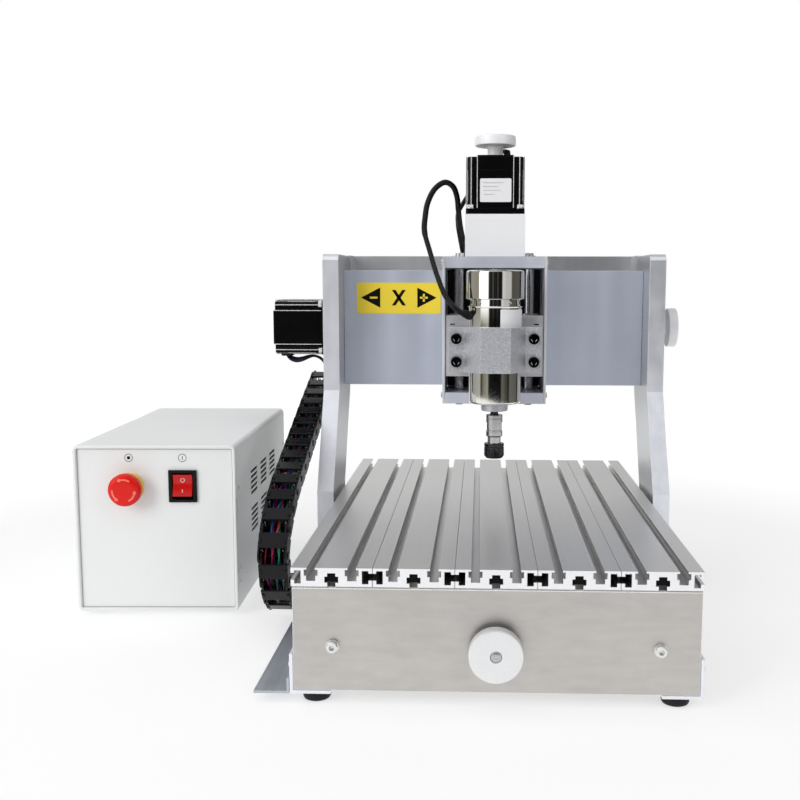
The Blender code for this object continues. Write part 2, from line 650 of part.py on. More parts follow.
def make_gantry_skins():
    inner = LEG_INNER_X - GAP
    block("gantry_front_panel", (-inner, inner), (PANEL_FRONT_Y, PANEL_FRONT_Y + PANEL_THICKNESS),
          (PANEL_LOW_Z, PANEL_TOP_Z), GANTRY, "blue_grey_anodised")

    front = LEG_HIGH_Y + LEG_DEPTH + GAP
    back = front + COVER_DEPTH
    low, high = 0.206, 0.3385
    cover = outline("gantry_rear_cover", [(front, low), (back, low), (back, high), (front, high)],
                    (0, 0, 0), 2 * LEG_OUTER_X, GANTRY, "anodised_aluminium", ALONG_X)
    sheet, reach = COVER_SHEET, 0.002
    hollow = [(front - reach, low + sheet), (back - sheet, low + sheet),
              (back - sheet, high + reach), (front - reach, high + reach)]
    cut(cover, outline("cover_hollow", hollow, (0, 0, 0), 2 * (LEG_INNER_X - 0.002), GANTRY,
                       turn=ALONG_X))


# ---- X carriage with the Z axis ---------------------------------------------------------------
def make_x_carriage():
    carriage = block("x_carriage_block", (-0.045, 0.045), (0.3335, 0.3640),
                     (Z_BOTTOM_PLATE_TOP_Z + GAP, Z_TOP_PLATE_LOW_Z - GAP), X_CARRIAGE,
                     "milled_aluminium")
    bores = [cylinder("carriage_screw_bore", SCREW_RADIUS + 0.0005, (-0.06, X_AXIS_Y, X_AXIS_Z),
                      0.12, X_CARRIAGE, aim=AIM_X)]
    for offset in (-X_ROD_OFFSET_Z, X_ROD_OFFSET_Z):
        bores.append(cylinder("carriage_rod_bore", X_ROD_RADIUS + GAP,
                              (-0.06, X_ROD_Y, X_AXIS_Z + offset), 0.12, X_CARRIAGE, aim=AIM_X))
    cut(carriage, *bores)


def make_z_frame():
    """A channel with a top and a bottom plate that reach over and under the gantry's panel."""
    half, sheet = Z_FRAME_HALF_WIDTH, Z_FRAME_SHEET
    front, back = Z_FRAME_FRONT_Y, Z_FRAME_BACK_Y
    section = mirrored([(half, back), (half, front), (half - sheet, front),
                        (half - sheet, back - sheet)])
    outline("z_frame_channel", section, (0, 0, (Z_FRAME_LOW_Z + Z_FRAME_TOP_Z) / 2),
            Z_FRAME_TOP_Z - Z_FRAME_LOW_Z, X_CARRIAGE, "milled_aluminium")

    wide = half - sheet - GAP
    narrow = 0.044
    channel_end = back + GAP
    levels = (("z_top_plate", Z_TOP_PLATE_LOW_Z, Z_FRAME_TOP_Z),
              ("z_bottom_plate", Z_FRAME_LOW_Z, Z_BOTTOM_PLATE_TOP_Z))
    for name, low, high in levels:
        plate = block(name, (-wide, wide), (front, Z_FRAME_REACH_Y), (low, high), X_CARRIAGE,
                      "milled_aluminium")
        holes = [cylinder(name + "_hole", SHAFT_RADIUS + 0.0005, (0, Z_AXIS_Y, low - 0.01), 0.03,
                          X_CARRIAGE)]
        if name == "z_top_plate":
            for x in (-Z_ROD_X, Z_ROD_X):
                holes.append(cylinder(name + "_rod_hole", 0.0029, (x, Z_AXIS_Y, low - 0.01), 0.03,
                                      X_CARRIAGE, sides=12))
        cut(plate, *holes)
    channel = bpy.data.objects["z_frame_channel"]
    levels = (("upper", Z_TOP_PLATE_LOW_Z - GAP, Z_FRAME_TOP_Z + 0.01),
              ("lower", Z_FRAME_LOW_Z - 0.01, Z_BOTTOM_PLATE_TOP_Z + GAP))
    for level, low, high in levels:
        cut(channel, block(f"channel_notch_{level}", (-wide - GAP, wide + GAP),
                           (back - sheet - 0.001, channel_end + 0.001), (low, high), X_CARRIAGE))

    half_box = COUPLER_BOX_HALF
    box = block("z_coupler_box", (-half_box, half_box), (Z_AXIS_Y - half_box, Z_AXIS_Y + half_box),
                (COUPLER_BOX_Z, COUPLER_BOX_Z + COUPLER_BOX_HEIGHT), X_CARRIAGE,
                "milled_aluminium")
    cut(box, cylinder("coupler_cavity", 0.0125, (0, Z_AXIS_Y, COUPLER_BOX_Z - 0.01), 0.06,
                      X_CARRIAGE))


def make_z_slide():
    slide = block("z_slide_block", (-SLIDE_HALF_WIDTH, SLIDE_HALF_WIDTH),
                  (SLIDE_FRONT_Y, SLIDE_BACK_Y), (SLIDE_LOW_Z, SLIDE_TOP_Z), Z_SLIDE,
                  "milled_aluminium")
    low = SLIDE_LOW_Z - 0.01
    bores = [cylinder("slide_screw_bore", 0.0054, (0, Z_AXIS_Y, low), 0.08, Z_SLIDE)]
    for x in (-Z_ROD_X, Z_ROD_X):
        bores.append(cylinder("slide_rod_bore", Z_ROD_RADIUS + GAP, (x, Z_AXIS_Y, low), 0.08,
                              Z_SLIDE))
    cut(slide, *bores)

    section = mirrored([(CLAMP_HALF_WIDTH, SLIDE_FRONT_Y - GAP), (CLAMP_HALF_WIDTH, CLAMP_EAR_Y),
                        (CLAMP_FACET_X, CLAMP_EAR_Y), (CLAMP_FLAT_X, CLAMP_FLAT_Y)])
    clamp = outline("spindle_clamp", section, (0, 0, (CLAMP_LOW_Z + CLAMP_TOP_Z) / 2),
                    CLAMP_TOP_Z - CLAMP_LOW_Z, Z_SLIDE, "milled_aluminium")
    cut(clamp, cylinder("clamp_bore", SPINDLE_BODY_RADIUS + GAP, (0, SPINDLE_Y, CLAMP_LOW_Z - 0.01),
                        0.07, Z_SLIDE, sides=CYLINDER_SIDES))


# ---- Spindle ----------------------------------------------------------------------------------
def make_spindle():
    body, can = SPINDLE_BODY_RADIUS, SPINDLE_CAN_RADIUS
    profile = [
        (can - 0.0025, SPINDLE_TOP_Z), (can - 0.0008, SPINDLE_TOP_Z - 0.0008),
        (can, SPINDLE_TOP_Z - 0.0025), (can, SPINDLE_CAN_Z), (body + 0.0006, SPINDLE_CAN_Z),
        (body + 0.0006, SPINDLE_RING_Z), (body, SPINDLE_RING_Z),
        (body, SPINDLE_LOW_Z + 0.002), (body - 0.002, SPINDLE_LOW_Z),
        (NOSE_RADIUS, SPINDLE_LOW_Z), (NOSE_RADIUS, NOSE_Z),
        (SHAFT_RADIUS + 0.0005, NOSE_Z), (SHAFT_RADIUS + 0.0005, NOSE_Z + 0.020),
    ]
    turned("spindle_body", profile, (0.0, SPINDLE_Y, 0.0), Z_SLIDE, "chrome")

    holder, neck = 0.0080, 0.0064
    nut_low, nut_high = 0.1461, 0.1601
    profile = [(SHAFT_RADIUS, NOSE_Z + 0.019), (SHAFT_RADIUS, 0.1864), (holder, 0.1864),
               (holder, 0.1660), (neck, 0.1660), (neck, nut_low + 0.0028),
               (0.0035, nut_low + 0.0028), (0.0035, nut_low + 0.012)]
    turned("collet_holder", profile, (0.0, SPINDLE_Y, 0.0), SPINDLE, "bright_steel",
           sides=24)
    profile = [(0.0088, nut_high), (0.0095, nut_high - 0.0008), (0.0095, nut_low + 0.0022),
               (0.0080, nut_low)]
    nut = turned("collet_nut", profile, (0.0, SPINDLE_Y, 0.0), SPINDLE, "black_steel", sides=24,
                 bore=0.0040)
    cut(nut, cylinder("nut_thread", neck + GAP, (0.0, SPINDLE_Y, nut_low + 0.0024), 0.02, SPINDLE))


# ---- Drag chain and cords ---------------------------------------------------------------------
def chain_line():
    """(Y, Z) points along the chain's middle, from the tray round the front bend to the gantry."""
    bend_y, bend_z, bend_radius = 0.163, 0.078, 0.050
    lower_end = [(0.250, 0.0180), (0.222, 0.0190), (0.192, 0.0230)]
    bend = []
    for degrees in range(255, 164, -15):
        angle = math.radians(degrees)
        bend.append((bend_y + bend_radius * math.cos(angle), bend_z + bend_radius * math.sin(angle)))
    upper_run = [(0.133, 0.1096), (0.164, 0.127), (0.197, 0.1385), (0.233, 0.1515),
                 (0.298, 0.1745), (0.345, 0.1905), (0.383, 0.2030)]
    points = [(0.0, y, z) for y, z in lower_end + bend + upper_run]
    return [(point.y, point.z) for point in smooth_route(points, 2)]


def make_drag_chain():
    line = [Vector(point) for point in chain_line()]
    half = CHAIN_HEIGHT / 2
    one_side, other_side = [], []
    for index, point in enumerate(line):
        before, after = line[max(index - 1, 0)], line[min(index + 1, len(line) - 1)]
        along = (after - before).normalized()
        normal = Vector((-along.y, along.x))
        one_side.append(tuple(point + normal * half))
        other_side.append(tuple(point - normal * half))
    outline("drag_chain", one_side + other_side[::-1],
            (CHAIN_INNER_X - CHAIN_WIDTH / 2, 0.0, 0.0), CHAIN_WIDTH, MACHINE, "black_plastic",
            ALONG_X)


def make_cords():
    spindle_route = [
        (-0.0262, 0.212, 0.2805), (-0.0345, 0.206, 0.2845), (-0.0455, 0.212, 0.2970),
        (-0.0545, 0.228, 0.3175), (-0.0615, 0.244, 0.3385), (-0.0672, 0.256, 0.3575),
        (-0.0668, 0.262, 0.3730), (-0.0647, 0.268, 0.3860), (-0.0585, 0.274, 0.3990),
        (-0.0480, 0.279, 0.4070), (-0.0395, 0.284, 0.4035), (-0.0355, 0.290, 0.3930),
        (-0.0342, 0.297, 0.3810), (-0.0340, 0.305, 0.3620), (-0.0338, 0.316, 0.3470),
        (-0.0325, 0.326, 0.3395), (-0.0290, 0.335, 0.3388),
    ]
    tube("spindle_cable", spindle_route, CABLE_RADIUS, X_CARRIAGE, "black_rubber")
    motor_route = [
        (-0.2135, 0.330, 0.2322), (-0.2110, 0.329, 0.2295), (-0.2043, 0.328, 0.2266),
        (-0.1980, 0.328, 0.2283), (-0.1919, 0.329, 0.2313), (-0.1865, 0.331, 0.2322),
        (-0.1811, 0.334, 0.2300), (-0.1775, 0.340, 0.2258), (-0.1768, 0.348, 0.2190),
        (-0.1785, 0.356, 0.2120),
    ]
    tube("x_motor_lead", motor_route, LEAD_RADIUS, GANTRY, "black_rubber")


# ---- Controller box, in its own coordinates ----------------------------------------------------
def rounded_rectangle(low_x, high_x, low_z, high_z, radius, steps=4):
    corners = [(high_x - radius, high_z - radius, 0), (low_x + radius, high_z - radius, 90),
               (low_x + radius, low_z + radius, 180), (high_x - radius, low_z + radius, 270)]
    points = []
    for x, z, start in corners:
        for step in range(steps + 1):
            angle = math.radians(start + 90 * step / steps)
            points.append((x + radius * math.cos(angle), z + radius * math.sin(angle)))
    return points


def make_case():
    wall = CASE_WALL
    middle = (0.0, CASE_DEPTH / 2, 0.0)
    case = outline("controller_case",
                   rounded_rectangle(-CASE_WIDTH, 0.0, CASE_LOW_Z, CASE_TOP_Z, CASE_RADIUS),
                   middle, CASE_DEPTH, CONTROLLER, "white_powder_coat", ALONG_Y)
    inside = outline("case_inside",
                     rounded_rectangle(-CASE_WIDTH + wall, -wall, CASE_LOW_Z + wall,
                                       CASE_TOP_Z - wall, CASE_RADIUS - wall),
                     middle, CASE_DEPTH + 0.01, CONTROLLER, turn=ALONG_Y)
    cut(case, inside)
    for x in (-CASE_WIDTH + 0.018, -0.018):
        for y in (0.022, CASE_DEPTH - 0.022):
            pad = cylinder("case_pad", 0.007, (x, y, 0.0), CASE_LOW_Z + wall / 2, CONTROLLER)
            join(case, pad)


def controller_panel(name, front_y, finish="white_powder_coat"):
    edge = CASE_WALL + GAP
    return outline(name, rounded_rectangle(-CASE_WIDTH + edge, -edge, CASE_LOW_Z + edge,
                                           CASE_TOP_Z - edge, CASE_RADIUS - CASE_WALL),
                   (0.0, front_y + CONTROLLER_PANEL_SHEET / 2, 0.0), CONTROLLER_PANEL_SHEET,
                   CONTROLLER, finish, ALONG_Y)


def make_front_panel():
    panel = controller_panel("controller_front_panel", CONTROLLER_PANEL_RECESS)
    hole = cylinder("estop_hole", 0.0096, (ESTOP_X, -0.01, ESTOP_Z), 0.03, CONTROLLER, aim=AIM_Y)
    window = block("switch_window", (SWITCH_X - 0.0115, SWITCH_X + 0.0115), (-0.01, 0.02),
                   (SWITCH_Z - 0.0138, SWITCH_Z + 0.0138), CONTROLLER)
    cut(panel, hole, window)


def make_rear_panel():
    """The rear panel with its four round motor sockets, and the mains inlet beside them."""
    rear = CASE_DEPTH - CONTROLLER_PANEL_RECESS - CONTROLLER_PANEL_SHEET
    panel = controller_panel("controller_rear_panel", rear)
    for index in range(4):
        x = -0.026 - index * 0.0325
        join(panel, cylinder("motor_socket", 0.0085, (x, rear - 0.012, 0.048), 0.0165, CONTROLLER,
                             aim=AIM_Y))
    x, z = -0.100, 0.118
    cut(panel, block("inlet_window", (x - 0.0142, x + 0.0142), (rear - 0.01, rear + 0.01),
                     (z - 0.0104, z + 0.0104), CONTROLLER))
    outer = rear + CONTROLLER_PANEL_SHEET + GAP
    inlet = block("mains_inlet", (x - 0.0138, x + 0.0138), (rear - 0.018, outer + 0.002),
                  (z - 0.0100, z + 0.0100), CONTROLLER, "black_plastic")
    join(inlet, block("inlet_flange", (x - 0.024, x + 0.024), (outer, outer + 0.002),
                      (z - 0.0125, z + 0.0125), CONTROLLER))
    cut(inlet, block("inlet_cavity", (x - 0.0120, x + 0.0120), (rear - 0.014, outer + 0.01),
                     (z - 0.0082, z + 0.0082), CONTROLLER))


def make_estop():
    face = CONTROLLER_PANEL_RECESS
    base_front = face - 0.0045
    profile = [(0.0092, 0.028), (0.0092, -GAP), (0.0135, -GAP), (0.0135, -0.0032),
               (0.0124, base_front - face)]
    turned("estop_base", profile, (ESTOP_X, face, ESTOP_Z), CONTROLLER,
                  "yellow_plastic", AIM_Y, bore=0.0052)
    head_rear = base_front - ESTOP_TRAVEL_GAP
    turned("estop_plunger", [(0.0048, 0.022), (0.0048, head_rear - 0.0027)],
           (ESTOP_X, 0.0, ESTOP_Z), CONTROLLER, "black_plastic", AIM_Y, sides=SMALL_SIDES)
    radius, thickness, dome = 0.0150, 0.0096, 0.0030
    profile = [(radius - 0.0012, head_rear), (radius, head_rear - 0.0015),
               (radius, head_rear - thickness + dome)]
    for step in range(1, 5):
        angle = math.radians(90 - 20 * step)
        profile.append((radius * math.sin(angle),
                        head_rear - thickness + dome - dome * math.cos(angle)))
    head = turned("estop_head", profile, (ESTOP_X, 0.0, ESTOP_Z), CONTROLLER, "red_plastic",
                  AIM_Y)
    cut(head, cylinder("head_socket", 0.0051, (ESTOP_X, head_rear - 0.003, ESTOP_Z), 0.02,
                       CONTROLLER, aim=AIM_Y))


def make_power_switch():
    face = CONTROLLER_PANEL_RECESS - GAP
    front = face - 0.002
    bezel = block("power_switch_bezel", (SWITCH_X - 0.0130, SWITCH_X + 0.0130), (front, face),
                  (SWITCH_Z - 0.0150, SWITCH_Z + 0.0150), CONTROLLER, "black_plastic")
    join(bezel, block("switch_barrel", (SWITCH_X - 0.0112, SWITCH_X + 0.0112), (face - 0.001, 0.028),
                      (SWITCH_Z - 0.0135, SWITCH_Z + 0.0135), CONTROLLER))
    cut(bezel, block("switch_cavity", (SWITCH_X - 0.0094, SWITCH_X + 0.0094), (front - 0.01, 0.0165),
                     (SWITCH_Z - 0.0122, SWITCH_Z + 0.0122), CONTROLLER))

    # The rocker's outline round its pivot, with its upper half pressed in
    points = [(-0.0065, -0.0100), (-0.0050, -0.0040), (-0.0046, 0.0), (-0.0050, 0.0040),
              (-0.0065, 0.0100), (0.0050, 0.0085), (0.0050, -0.0085)]
    tilt = Matrix.Rotation(-SWITCH_TILT, 2)
    outline("power_rocker", [tilt @ Vector(point) for point in points],
            (SWITCH_X, SWITCH_PIVOT_Y, SWITCH_Z), 0.0178, CONTROLLER, "red_plastic", ALONG_X)


make_feet()
make_side_angles()
make_tray()
make_base_plates()
make_table()
make_y_drive()
make_x_drive()
make_z_drive()
make_gantry_sides()
make_gantry_base()
make_gantry_skins()
make_x_carriage()
make_z_frame()
make_z_slide()
make_spindle()
make_drag_chain()
make_cords()
make_case()
make_front_panel()
make_rear_panel()
make_estop()
make_power_switch()

for axis in (X_CARRIAGE, Z_SLIDE, Z_SCREW, SPINDLE):
    axis.location.x = CARRIAGE_X
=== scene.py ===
"""Looks of the desktop CNC router and its controller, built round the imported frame.

Shapes are written in millimetres in the machine's own coordinates: X = 0 is the middle of the
table, Y = 0 the front face of the base and Z = 0 the floor. The controller box has coordinates
of its own, from its right front corner. piece() turns both into metres in the row frame.
"""

import math

import bmesh
import bpy
from mathutils import Matrix, Vector


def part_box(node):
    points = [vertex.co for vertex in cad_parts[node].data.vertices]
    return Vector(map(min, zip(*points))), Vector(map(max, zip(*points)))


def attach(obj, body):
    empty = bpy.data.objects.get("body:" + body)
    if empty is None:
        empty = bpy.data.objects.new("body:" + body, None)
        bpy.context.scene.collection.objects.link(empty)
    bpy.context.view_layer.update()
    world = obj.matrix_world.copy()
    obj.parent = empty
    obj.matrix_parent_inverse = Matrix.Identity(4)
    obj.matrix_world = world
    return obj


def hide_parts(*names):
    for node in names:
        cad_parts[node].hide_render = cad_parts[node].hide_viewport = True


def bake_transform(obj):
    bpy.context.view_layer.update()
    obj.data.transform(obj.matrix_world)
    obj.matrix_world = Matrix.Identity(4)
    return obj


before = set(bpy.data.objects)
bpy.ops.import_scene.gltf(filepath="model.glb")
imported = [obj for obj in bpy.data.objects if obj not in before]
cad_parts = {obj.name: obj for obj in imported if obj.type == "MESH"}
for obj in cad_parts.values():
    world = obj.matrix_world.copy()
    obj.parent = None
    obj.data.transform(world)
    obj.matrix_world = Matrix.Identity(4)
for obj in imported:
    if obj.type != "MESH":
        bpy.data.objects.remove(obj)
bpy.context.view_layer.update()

MM = 0.001
PLATE_LOW, PLATE_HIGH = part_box("base_front_plate")
ORIGIN = Vector(((PLATE_LOW[0] + PLATE_HIGH[0]) / 2, PLATE_LOW[1], 0.0))
MACHINE = Matrix.Translation(ORIGIN)
CARRIAGE = MACHINE @ Matrix.Translation((0.001, 0, 0))  # the X carriage and all it carries
CONTROLLER = (Matrix.Translation(ORIGIN + Vector((-0.236, 0.189, 0.0)))
              @ Matrix.Rotation(math.radians(2.0), 4, "Z"))
# Outlines are drawn in (u, v) and made thick along w. These turn (u, v, w) into machine axes.
YZ_X = Matrix(((0, 0, 1, 0), (1, 0, 0, 0), (0, 1, 0, 0), (0, 0, 0, 1)))
XZ_Y = Matrix(((1, 0, 0, 0), (0, 0, 1, 0), (0, 1, 0, 0), (0, 0, 0, 1)))
SIDES = (("left", -1), ("right", 1))
TABLE_LONG = 450.0
Y_ROD_X, Y_ROD_Z = 119.6, 44.5
Y_SCREW_Z = 43.0
LEG_Y = 281.5  # the middle of the gantry's feet
X_ROD_Y, X_ROD_Z = 350.0, (231.5, 295.5)
X_SCREW_Y, X_SCREW_Z = 343.0, 263.5
PANEL_Y = 328.0  # the face of the gantry's front panel
Z_AXIS_Y, Z_ROD_X = 290.5, 34.4
SPINDLE_Y = 222.0
CHAIN_X = -185.5
LINK_PITCH = 22.4
FIRST_LINK = 0.2  # how far along its line the chain's first link is centred
ESTOP_X, ESTOP_Z = -98.9, 121.7  # this and SWITCH_X are in the controller's coordinates
SWITCH_X = -49.5
CEILING = 1.12  # how bright the studio's ceiling is


# ---- Materials ------------------------------------------------------------------------------
def add_node(tree, kind, inputs=None, **settings):
    """A node with its settings, and its inputs linked to sockets or set to values."""
    node = tree.nodes.new(kind)
    for name, value in settings.items():
        setattr(node, name, value)
    for name, value in (inputs or {}).items():
        if isinstance(value, bpy.types.NodeSocket):
            tree.links.new(value, node.inputs[name])
        else:
            node.inputs[name].default_value = value
    return node


def ramp(tree, factor, stops):
    """A colour ramp from (position, grey or colour) stops."""
    node = add_node(tree, "ShaderNodeValToRGB", {"Fac": factor})
    elements = node.color_ramp.elements
    while len(elements) < len(stops):
        elements.new(0.5)
    for element, (position, colour) in zip(elements, stops):
        element.position = position
        if not isinstance(colour, tuple):
            colour = (colour, colour, colour)
        element.color = (*colour, 1.0)
    return node.outputs["Color"]


def maths(tree, operation, *values):
    """The result of a Math node; each value is a socket or a number."""
    return add_node(tree, "ShaderNodeMath", dict(enumerate(values)),
                    operation=operation).outputs[0]


def map_range(tree, value, low, high, to_low=0.0, to_high=1.0):
    return add_node(tree, "ShaderNodeMapRange", {
        "Value": value, "From Min": low, "From Max": high, "To Min": to_low,
        "To Max": to_high}).outputs["Result"]


def mixed(tree, factor, low, high, blend="MIX"):
    """The low colour where the factor is 0; the high one, or their product, where it is 1."""
    return add_node(tree, "ShaderNodeMix", {0: factor, 6: low, 7: high}, data_type="RGBA",
                    blend_type=blend).outputs[2]


def material(name, colour, roughness, metallic=0.0, mottle=0.06, mottle_size=25.0,
             stretch=(1, 1, 1), fine=900.0, rough_swing=0.06, bump=0.0, bump_size=None, **extra):
    """A surface with cloudy colour changes, a fine grain that stretch can turn into brush
    lines, and a bump from the same grain. extra sets further sockets of the shader."""
    mat = bpy.data.materials.new(name)
    mat.use_nodes = True
    tree = mat.node_tree
    shader = tree.nodes["Principled BSDF"]
    shader.inputs["Metallic"].default_value = metallic
    for socket, value in extra.items():
        shader.inputs[socket.replace("_", " ")].default_value = value
    place = add_node(tree, "ShaderNodeTexCoord").outputs["Object"]
    clouds = add_node(tree, "ShaderNodeTexNoise", {
        "Vector": place, "Scale": 1000.0 / mottle_size, "Detail": 4.0, "Roughness": 0.6})
    mapped = add_node(tree, "ShaderNodeMapping", {"Vector": place, "Scale": stretch})
    grain = add_node(tree, "ShaderNodeTexNoise", {
        "Vector": mapped.outputs["Vector"], "Scale": fine, "Detail": 3.0})
    both = maths(tree, "ADD", clouds.outputs["Fac"], grain.outputs["Fac"])
    share = maths(tree, "MULTIPLY", both, 0.5)
    dark = tuple(c * (1 - mottle) for c in colour)
    light = tuple(min(1.0, c * (1 + mottle)) for c in colour)
    tree.links.new(ramp(tree, share, [(0.35, dark), (0.65, light)]), shader.inputs["Base Color"])
    tree.links.new(map_range(tree, share, 0.35, 0.65, max(0.02, roughness - rough_swing),
                             roughness + rough_swing), shader.inputs["Roughness"])
    if bump:
        height = grain
        if bump_size:
            height = add_node(tree, "ShaderNodeTexNoise", {
                "Vector": place, "Scale": 1000.0 / bump_size, "Detail": 2.0})
        relief = add_node(tree, "ShaderNodeBump", {
            "Height": height.outputs["Fac"], "Strength": 0.5, "Distance": bump * MM})
        tree.links.new(relief.outputs["Normal"], shader.inputs["Normal"])
    return mat


ALONG_Y = (1, 0.012, 1)
ALONG_X = (0.012, 1, 1)
ALONG_Z = (1, 1, 0.012)
EVEN = (1, 1, 1)
DEEP = {"Specular_IOR_Level": 0.16}
EXTRUDED = material("extruded_aluminium", (0.72, 0.715, 0.705), 0.36, 1.0, 0.05, 60, ALONG_Y,
                    700, 0.05, 0.03)
SAWN = material("sawn_aluminium_end", (0.88, 0.88, 0.90), 0.5, 0.1, 0.02, 4, ALONG_X, 900,
                0.08, 0.05)
PLATE = material("brushed_plate", (0.60, 0.58, 0.555), 0.42, 1.0, 0.11, 38, (0.25, 1, 1), 160,
                 0.08, 0.02)
# Both gantry legs are the same milled metal. The right leg gets a copy tuned apart from the left
# one to match the different light on it: painted light and shade.
LEG = material("milled_leg", (0.86, 0.875, 0.93), 0.34, 0.50, 0.05, 24, (1, 1, 0.30), 120,
               0.03, 0.03)
LEG_RIGHT_SHADE_COPY = material("milled_leg_right_shade_copy", (0.88, 0.90, 0.98), 0.32, 0.70, 0.07, 14,
                     (1, 1, 0.30), 120, 0.03, 0.03)
FRAME = material("pale_frame_plate", (0.86, 0.88, 0.93), 0.38, 0.42, 0.03, 30, ALONG_Z, 260,
                 0.04, 0.02)
MILLED = material("milled_aluminium", (0.72, 0.73, 0.75), 0.36, 0.7, 0.05, 30, ALONG_Z, 600,
                  0.07, 0.03)
CAST = material("bead_blasted_aluminium", (0.61, 0.625, 0.665), 0.40, 0.6, 0.20, 2.2, EVEN,
                900, 0.08, 0.06)
SATIN = material("satin_aluminium", (0.83, 0.865, 1.0), 0.38, 0.5, 0.04, 14, ALONG_X, 500,
                 0.05, 0.02)
SLIDE = material("slide_plate", (0.74, 0.725, 0.745), 0.4, 0.6, 0.04, 20, ALONG_X, 500,
                 0.05, 0.02)
PALE = material("pale_anodised", (0.96, 0.965, 0.985), 0.42, 0.12, 0.012, 40, ALONG_X, 300,
                0.04, 0.01)
SHEET = material("sheet_aluminium", (0.80, 0.80, 0.81), 0.34, 0.5, 0.10, 90, (1, 1, 0.02),
                 40, 0.04, 0.02)
TRAY = material("tray_sheet", (0.50, 0.53, 0.58), 0.42, 0.6, 0.07, 30, ALONG_Y, 500,
                0.06, 0.03)
PANEL = material("blue_grey_panel", (0.71, 0.76, 0.885), 0.38, 0.6, 0.05, 90, (1, 1, 0.02),
                 60, 0.06, 0.02)
# Pale metal: the stepper nuts' own colour, and a painted highlight where it lies on rounded edges
# and by screw sockets.
EDGE = material("bright_edge", (0.98, 0.98, 1.0), 0.3, 0.25, 0.02, 6, EVEN, 500)
TURNED = material("turned_aluminium", (0.82, 0.825, 0.83), 0.34, 0.45, 0.03, 12, EVEN,
                  400, 0.06, 0.02)
STEEL = material("ground_steel", (0.62, 0.62, 0.64), 0.16, 1.0, 0.04, 15, EVEN, 800, 0.04)
TOOL_STEEL = material("tool_steel", (0.50, 0.50, 0.51), 0.17, 1.0, 0.1, 8, EVEN, 800, 0.05)
CHROME = material("chrome", (0.82, 0.81, 0.77), 0.05, 1.0, 0.02, 40, EVEN, 500, 0.02)
ZINC = material("zinc_plated_screw", (0.80, 0.80, 0.79), 0.25, 0.7, 0.06, 3, EVEN, 900)
BLACK_STEEL = material("blackened_steel", (0.045, 0.045, 0.05), 0.14, 1.0, 0.2, 4, EVEN,
                       900, 0.06, 0.02)
BLACK_PAINT = material("gloss_black_enamel", (0.003, 0.003, 0.0035), 0.22, 0.0, 0.2, 30,
                       EVEN, 600, 0.05, 0.02, 6, **DEEP)
BLACK_ANODISED = material("black_anodised", (0.010, 0.010, 0.011), 0.42, 0.0, 0.15, 30, **DEEP)
BARE_EDGE = material("bare_edge", (0.92, 0.92, 0.93), 0.28, 0.45, 0.05, 6, ALONG_Z, 500)
CHAIN = material("chain_nylon", (0.003, 0.003, 0.004), 0.26, 0.0, 0.25, 8, EVEN, 700,
                 0.07, 0.04, Specular_IOR_Level=0.26)
RUBBER = material("rubber", (0.008, 0.008, 0.009), 0.55, 0.0, 0.15, 10, EVEN, 500, 0.08,
                  0.05, Specular_IOR_Level=0.3)
CABLE = material("cable_sheath", (0.004, 0.004, 0.005), 0.30, 0.0, 0.15, 10, EVEN, 400,
                 0.06, 0.03, Specular_IOR_Level=0.28)
POWDER = material("white_powder_coat", (0.81, 0.825, 0.82), 0.45, 0.0, 0.012, 50, EVEN,
                  300, 0.04, 0.05, 0.8)
# Near-black stand-in for the shade deep in bores, gaps, slots and inside the case: painted shade.
PAINTED_SHADE = material("painted_shade_inside", (0.004, 0.004, 0.004), 0.8, **DEEP)
RED = material("red_plastic", (0.70, 0.008, 0.004), 0.25, 0.0, 0.05, 15, EVEN, 500,
               0.04, 0.02, Specular_IOR_Level=0.3)
ROCKER_RED = material("rocker_red", (0.52, 0.006, 0.004), 0.2, 0.0, 0.08, 12,
                      Specular_IOR_Level=0.35)
YELLOW = material("yellow_plastic", (0.90, 0.55, 0.03), 0.38)
LABEL = material("yellow_label", (1.0, 0.755, 0.05), 0.45, 0.0, 0.02, 60)
INK = material("black_ink", (0.003, 0.002, 0.002), 0.5, **DEEP)
PAPER = material("white_sticker", (0.86, 0.86, 0.88), 0.42, 0.0, 0.015, 20)
MARK = material("pale_marking", (0.88, 0.78, 0.76), 0.45)
PINK = material("pink_marking", (0.90, 0.20, 0.15), 0.4)
# Grey for the ring round the controller's front panel: painted shade in the recess.
GAP_SHADE = material("panel_gap_shade", (0.42, 0.42, 0.42), 0.6)
# Grey marks by the pins inside the chain's windows: painted highlight.
PIN_GLINT = material("pin_glint_paint", (0.30, 0.30, 0.32), 0.4)
BRASS = material("brass_contact", (0.80, 0.58, 0.26), 0.25, 1.0)
WIRES = {name: material(f"wire_{name}", colour, 0.38, 0.0, 0.05, 12) for name, colour in {
    "red": (0.50, 0.02, 0.05), "blue": (0.03, 0.09, 0.40), "green": (0.02, 0.22, 0.12),
    "purple": (0.10, 0.04, 0.26), "black": (0.006, 0.006, 0.007),
    "navy": (0.007, 0.009, 0.05),
}.items()}


def shade_side_faces(mat, shade):
    """Painted shade: darkens the plate faces, which look along X, against the milled edges,
    standing in for the shade on the legs' sides.
    """
    tree = mat.node_tree
    base = tree.nodes["Principled BSDF"].inputs["Base Color"]
    normal = add_node(tree, "ShaderNodeNewGeometry").outputs["True Normal"]
    side = add_node(tree, "ShaderNodeSeparateXYZ", {"Vector": normal}).outputs["X"]
    on_face = ramp(tree, maths(tree, "ABSOLUTE", side), [(0.5, 0.0), (0.6, 1.0)])
    tree.links.new(mixed(tree, on_face, base.links[0].from_socket,
                         (shade, shade, shade * 0.98, 1.0), "MULTIPLY"), base)


# Painted shade on the sides of both gantry legs.
shade_side_faces(LEG, 0.62)
shade_side_faces(LEG_RIGHT_SHADE_COPY, 0.62)


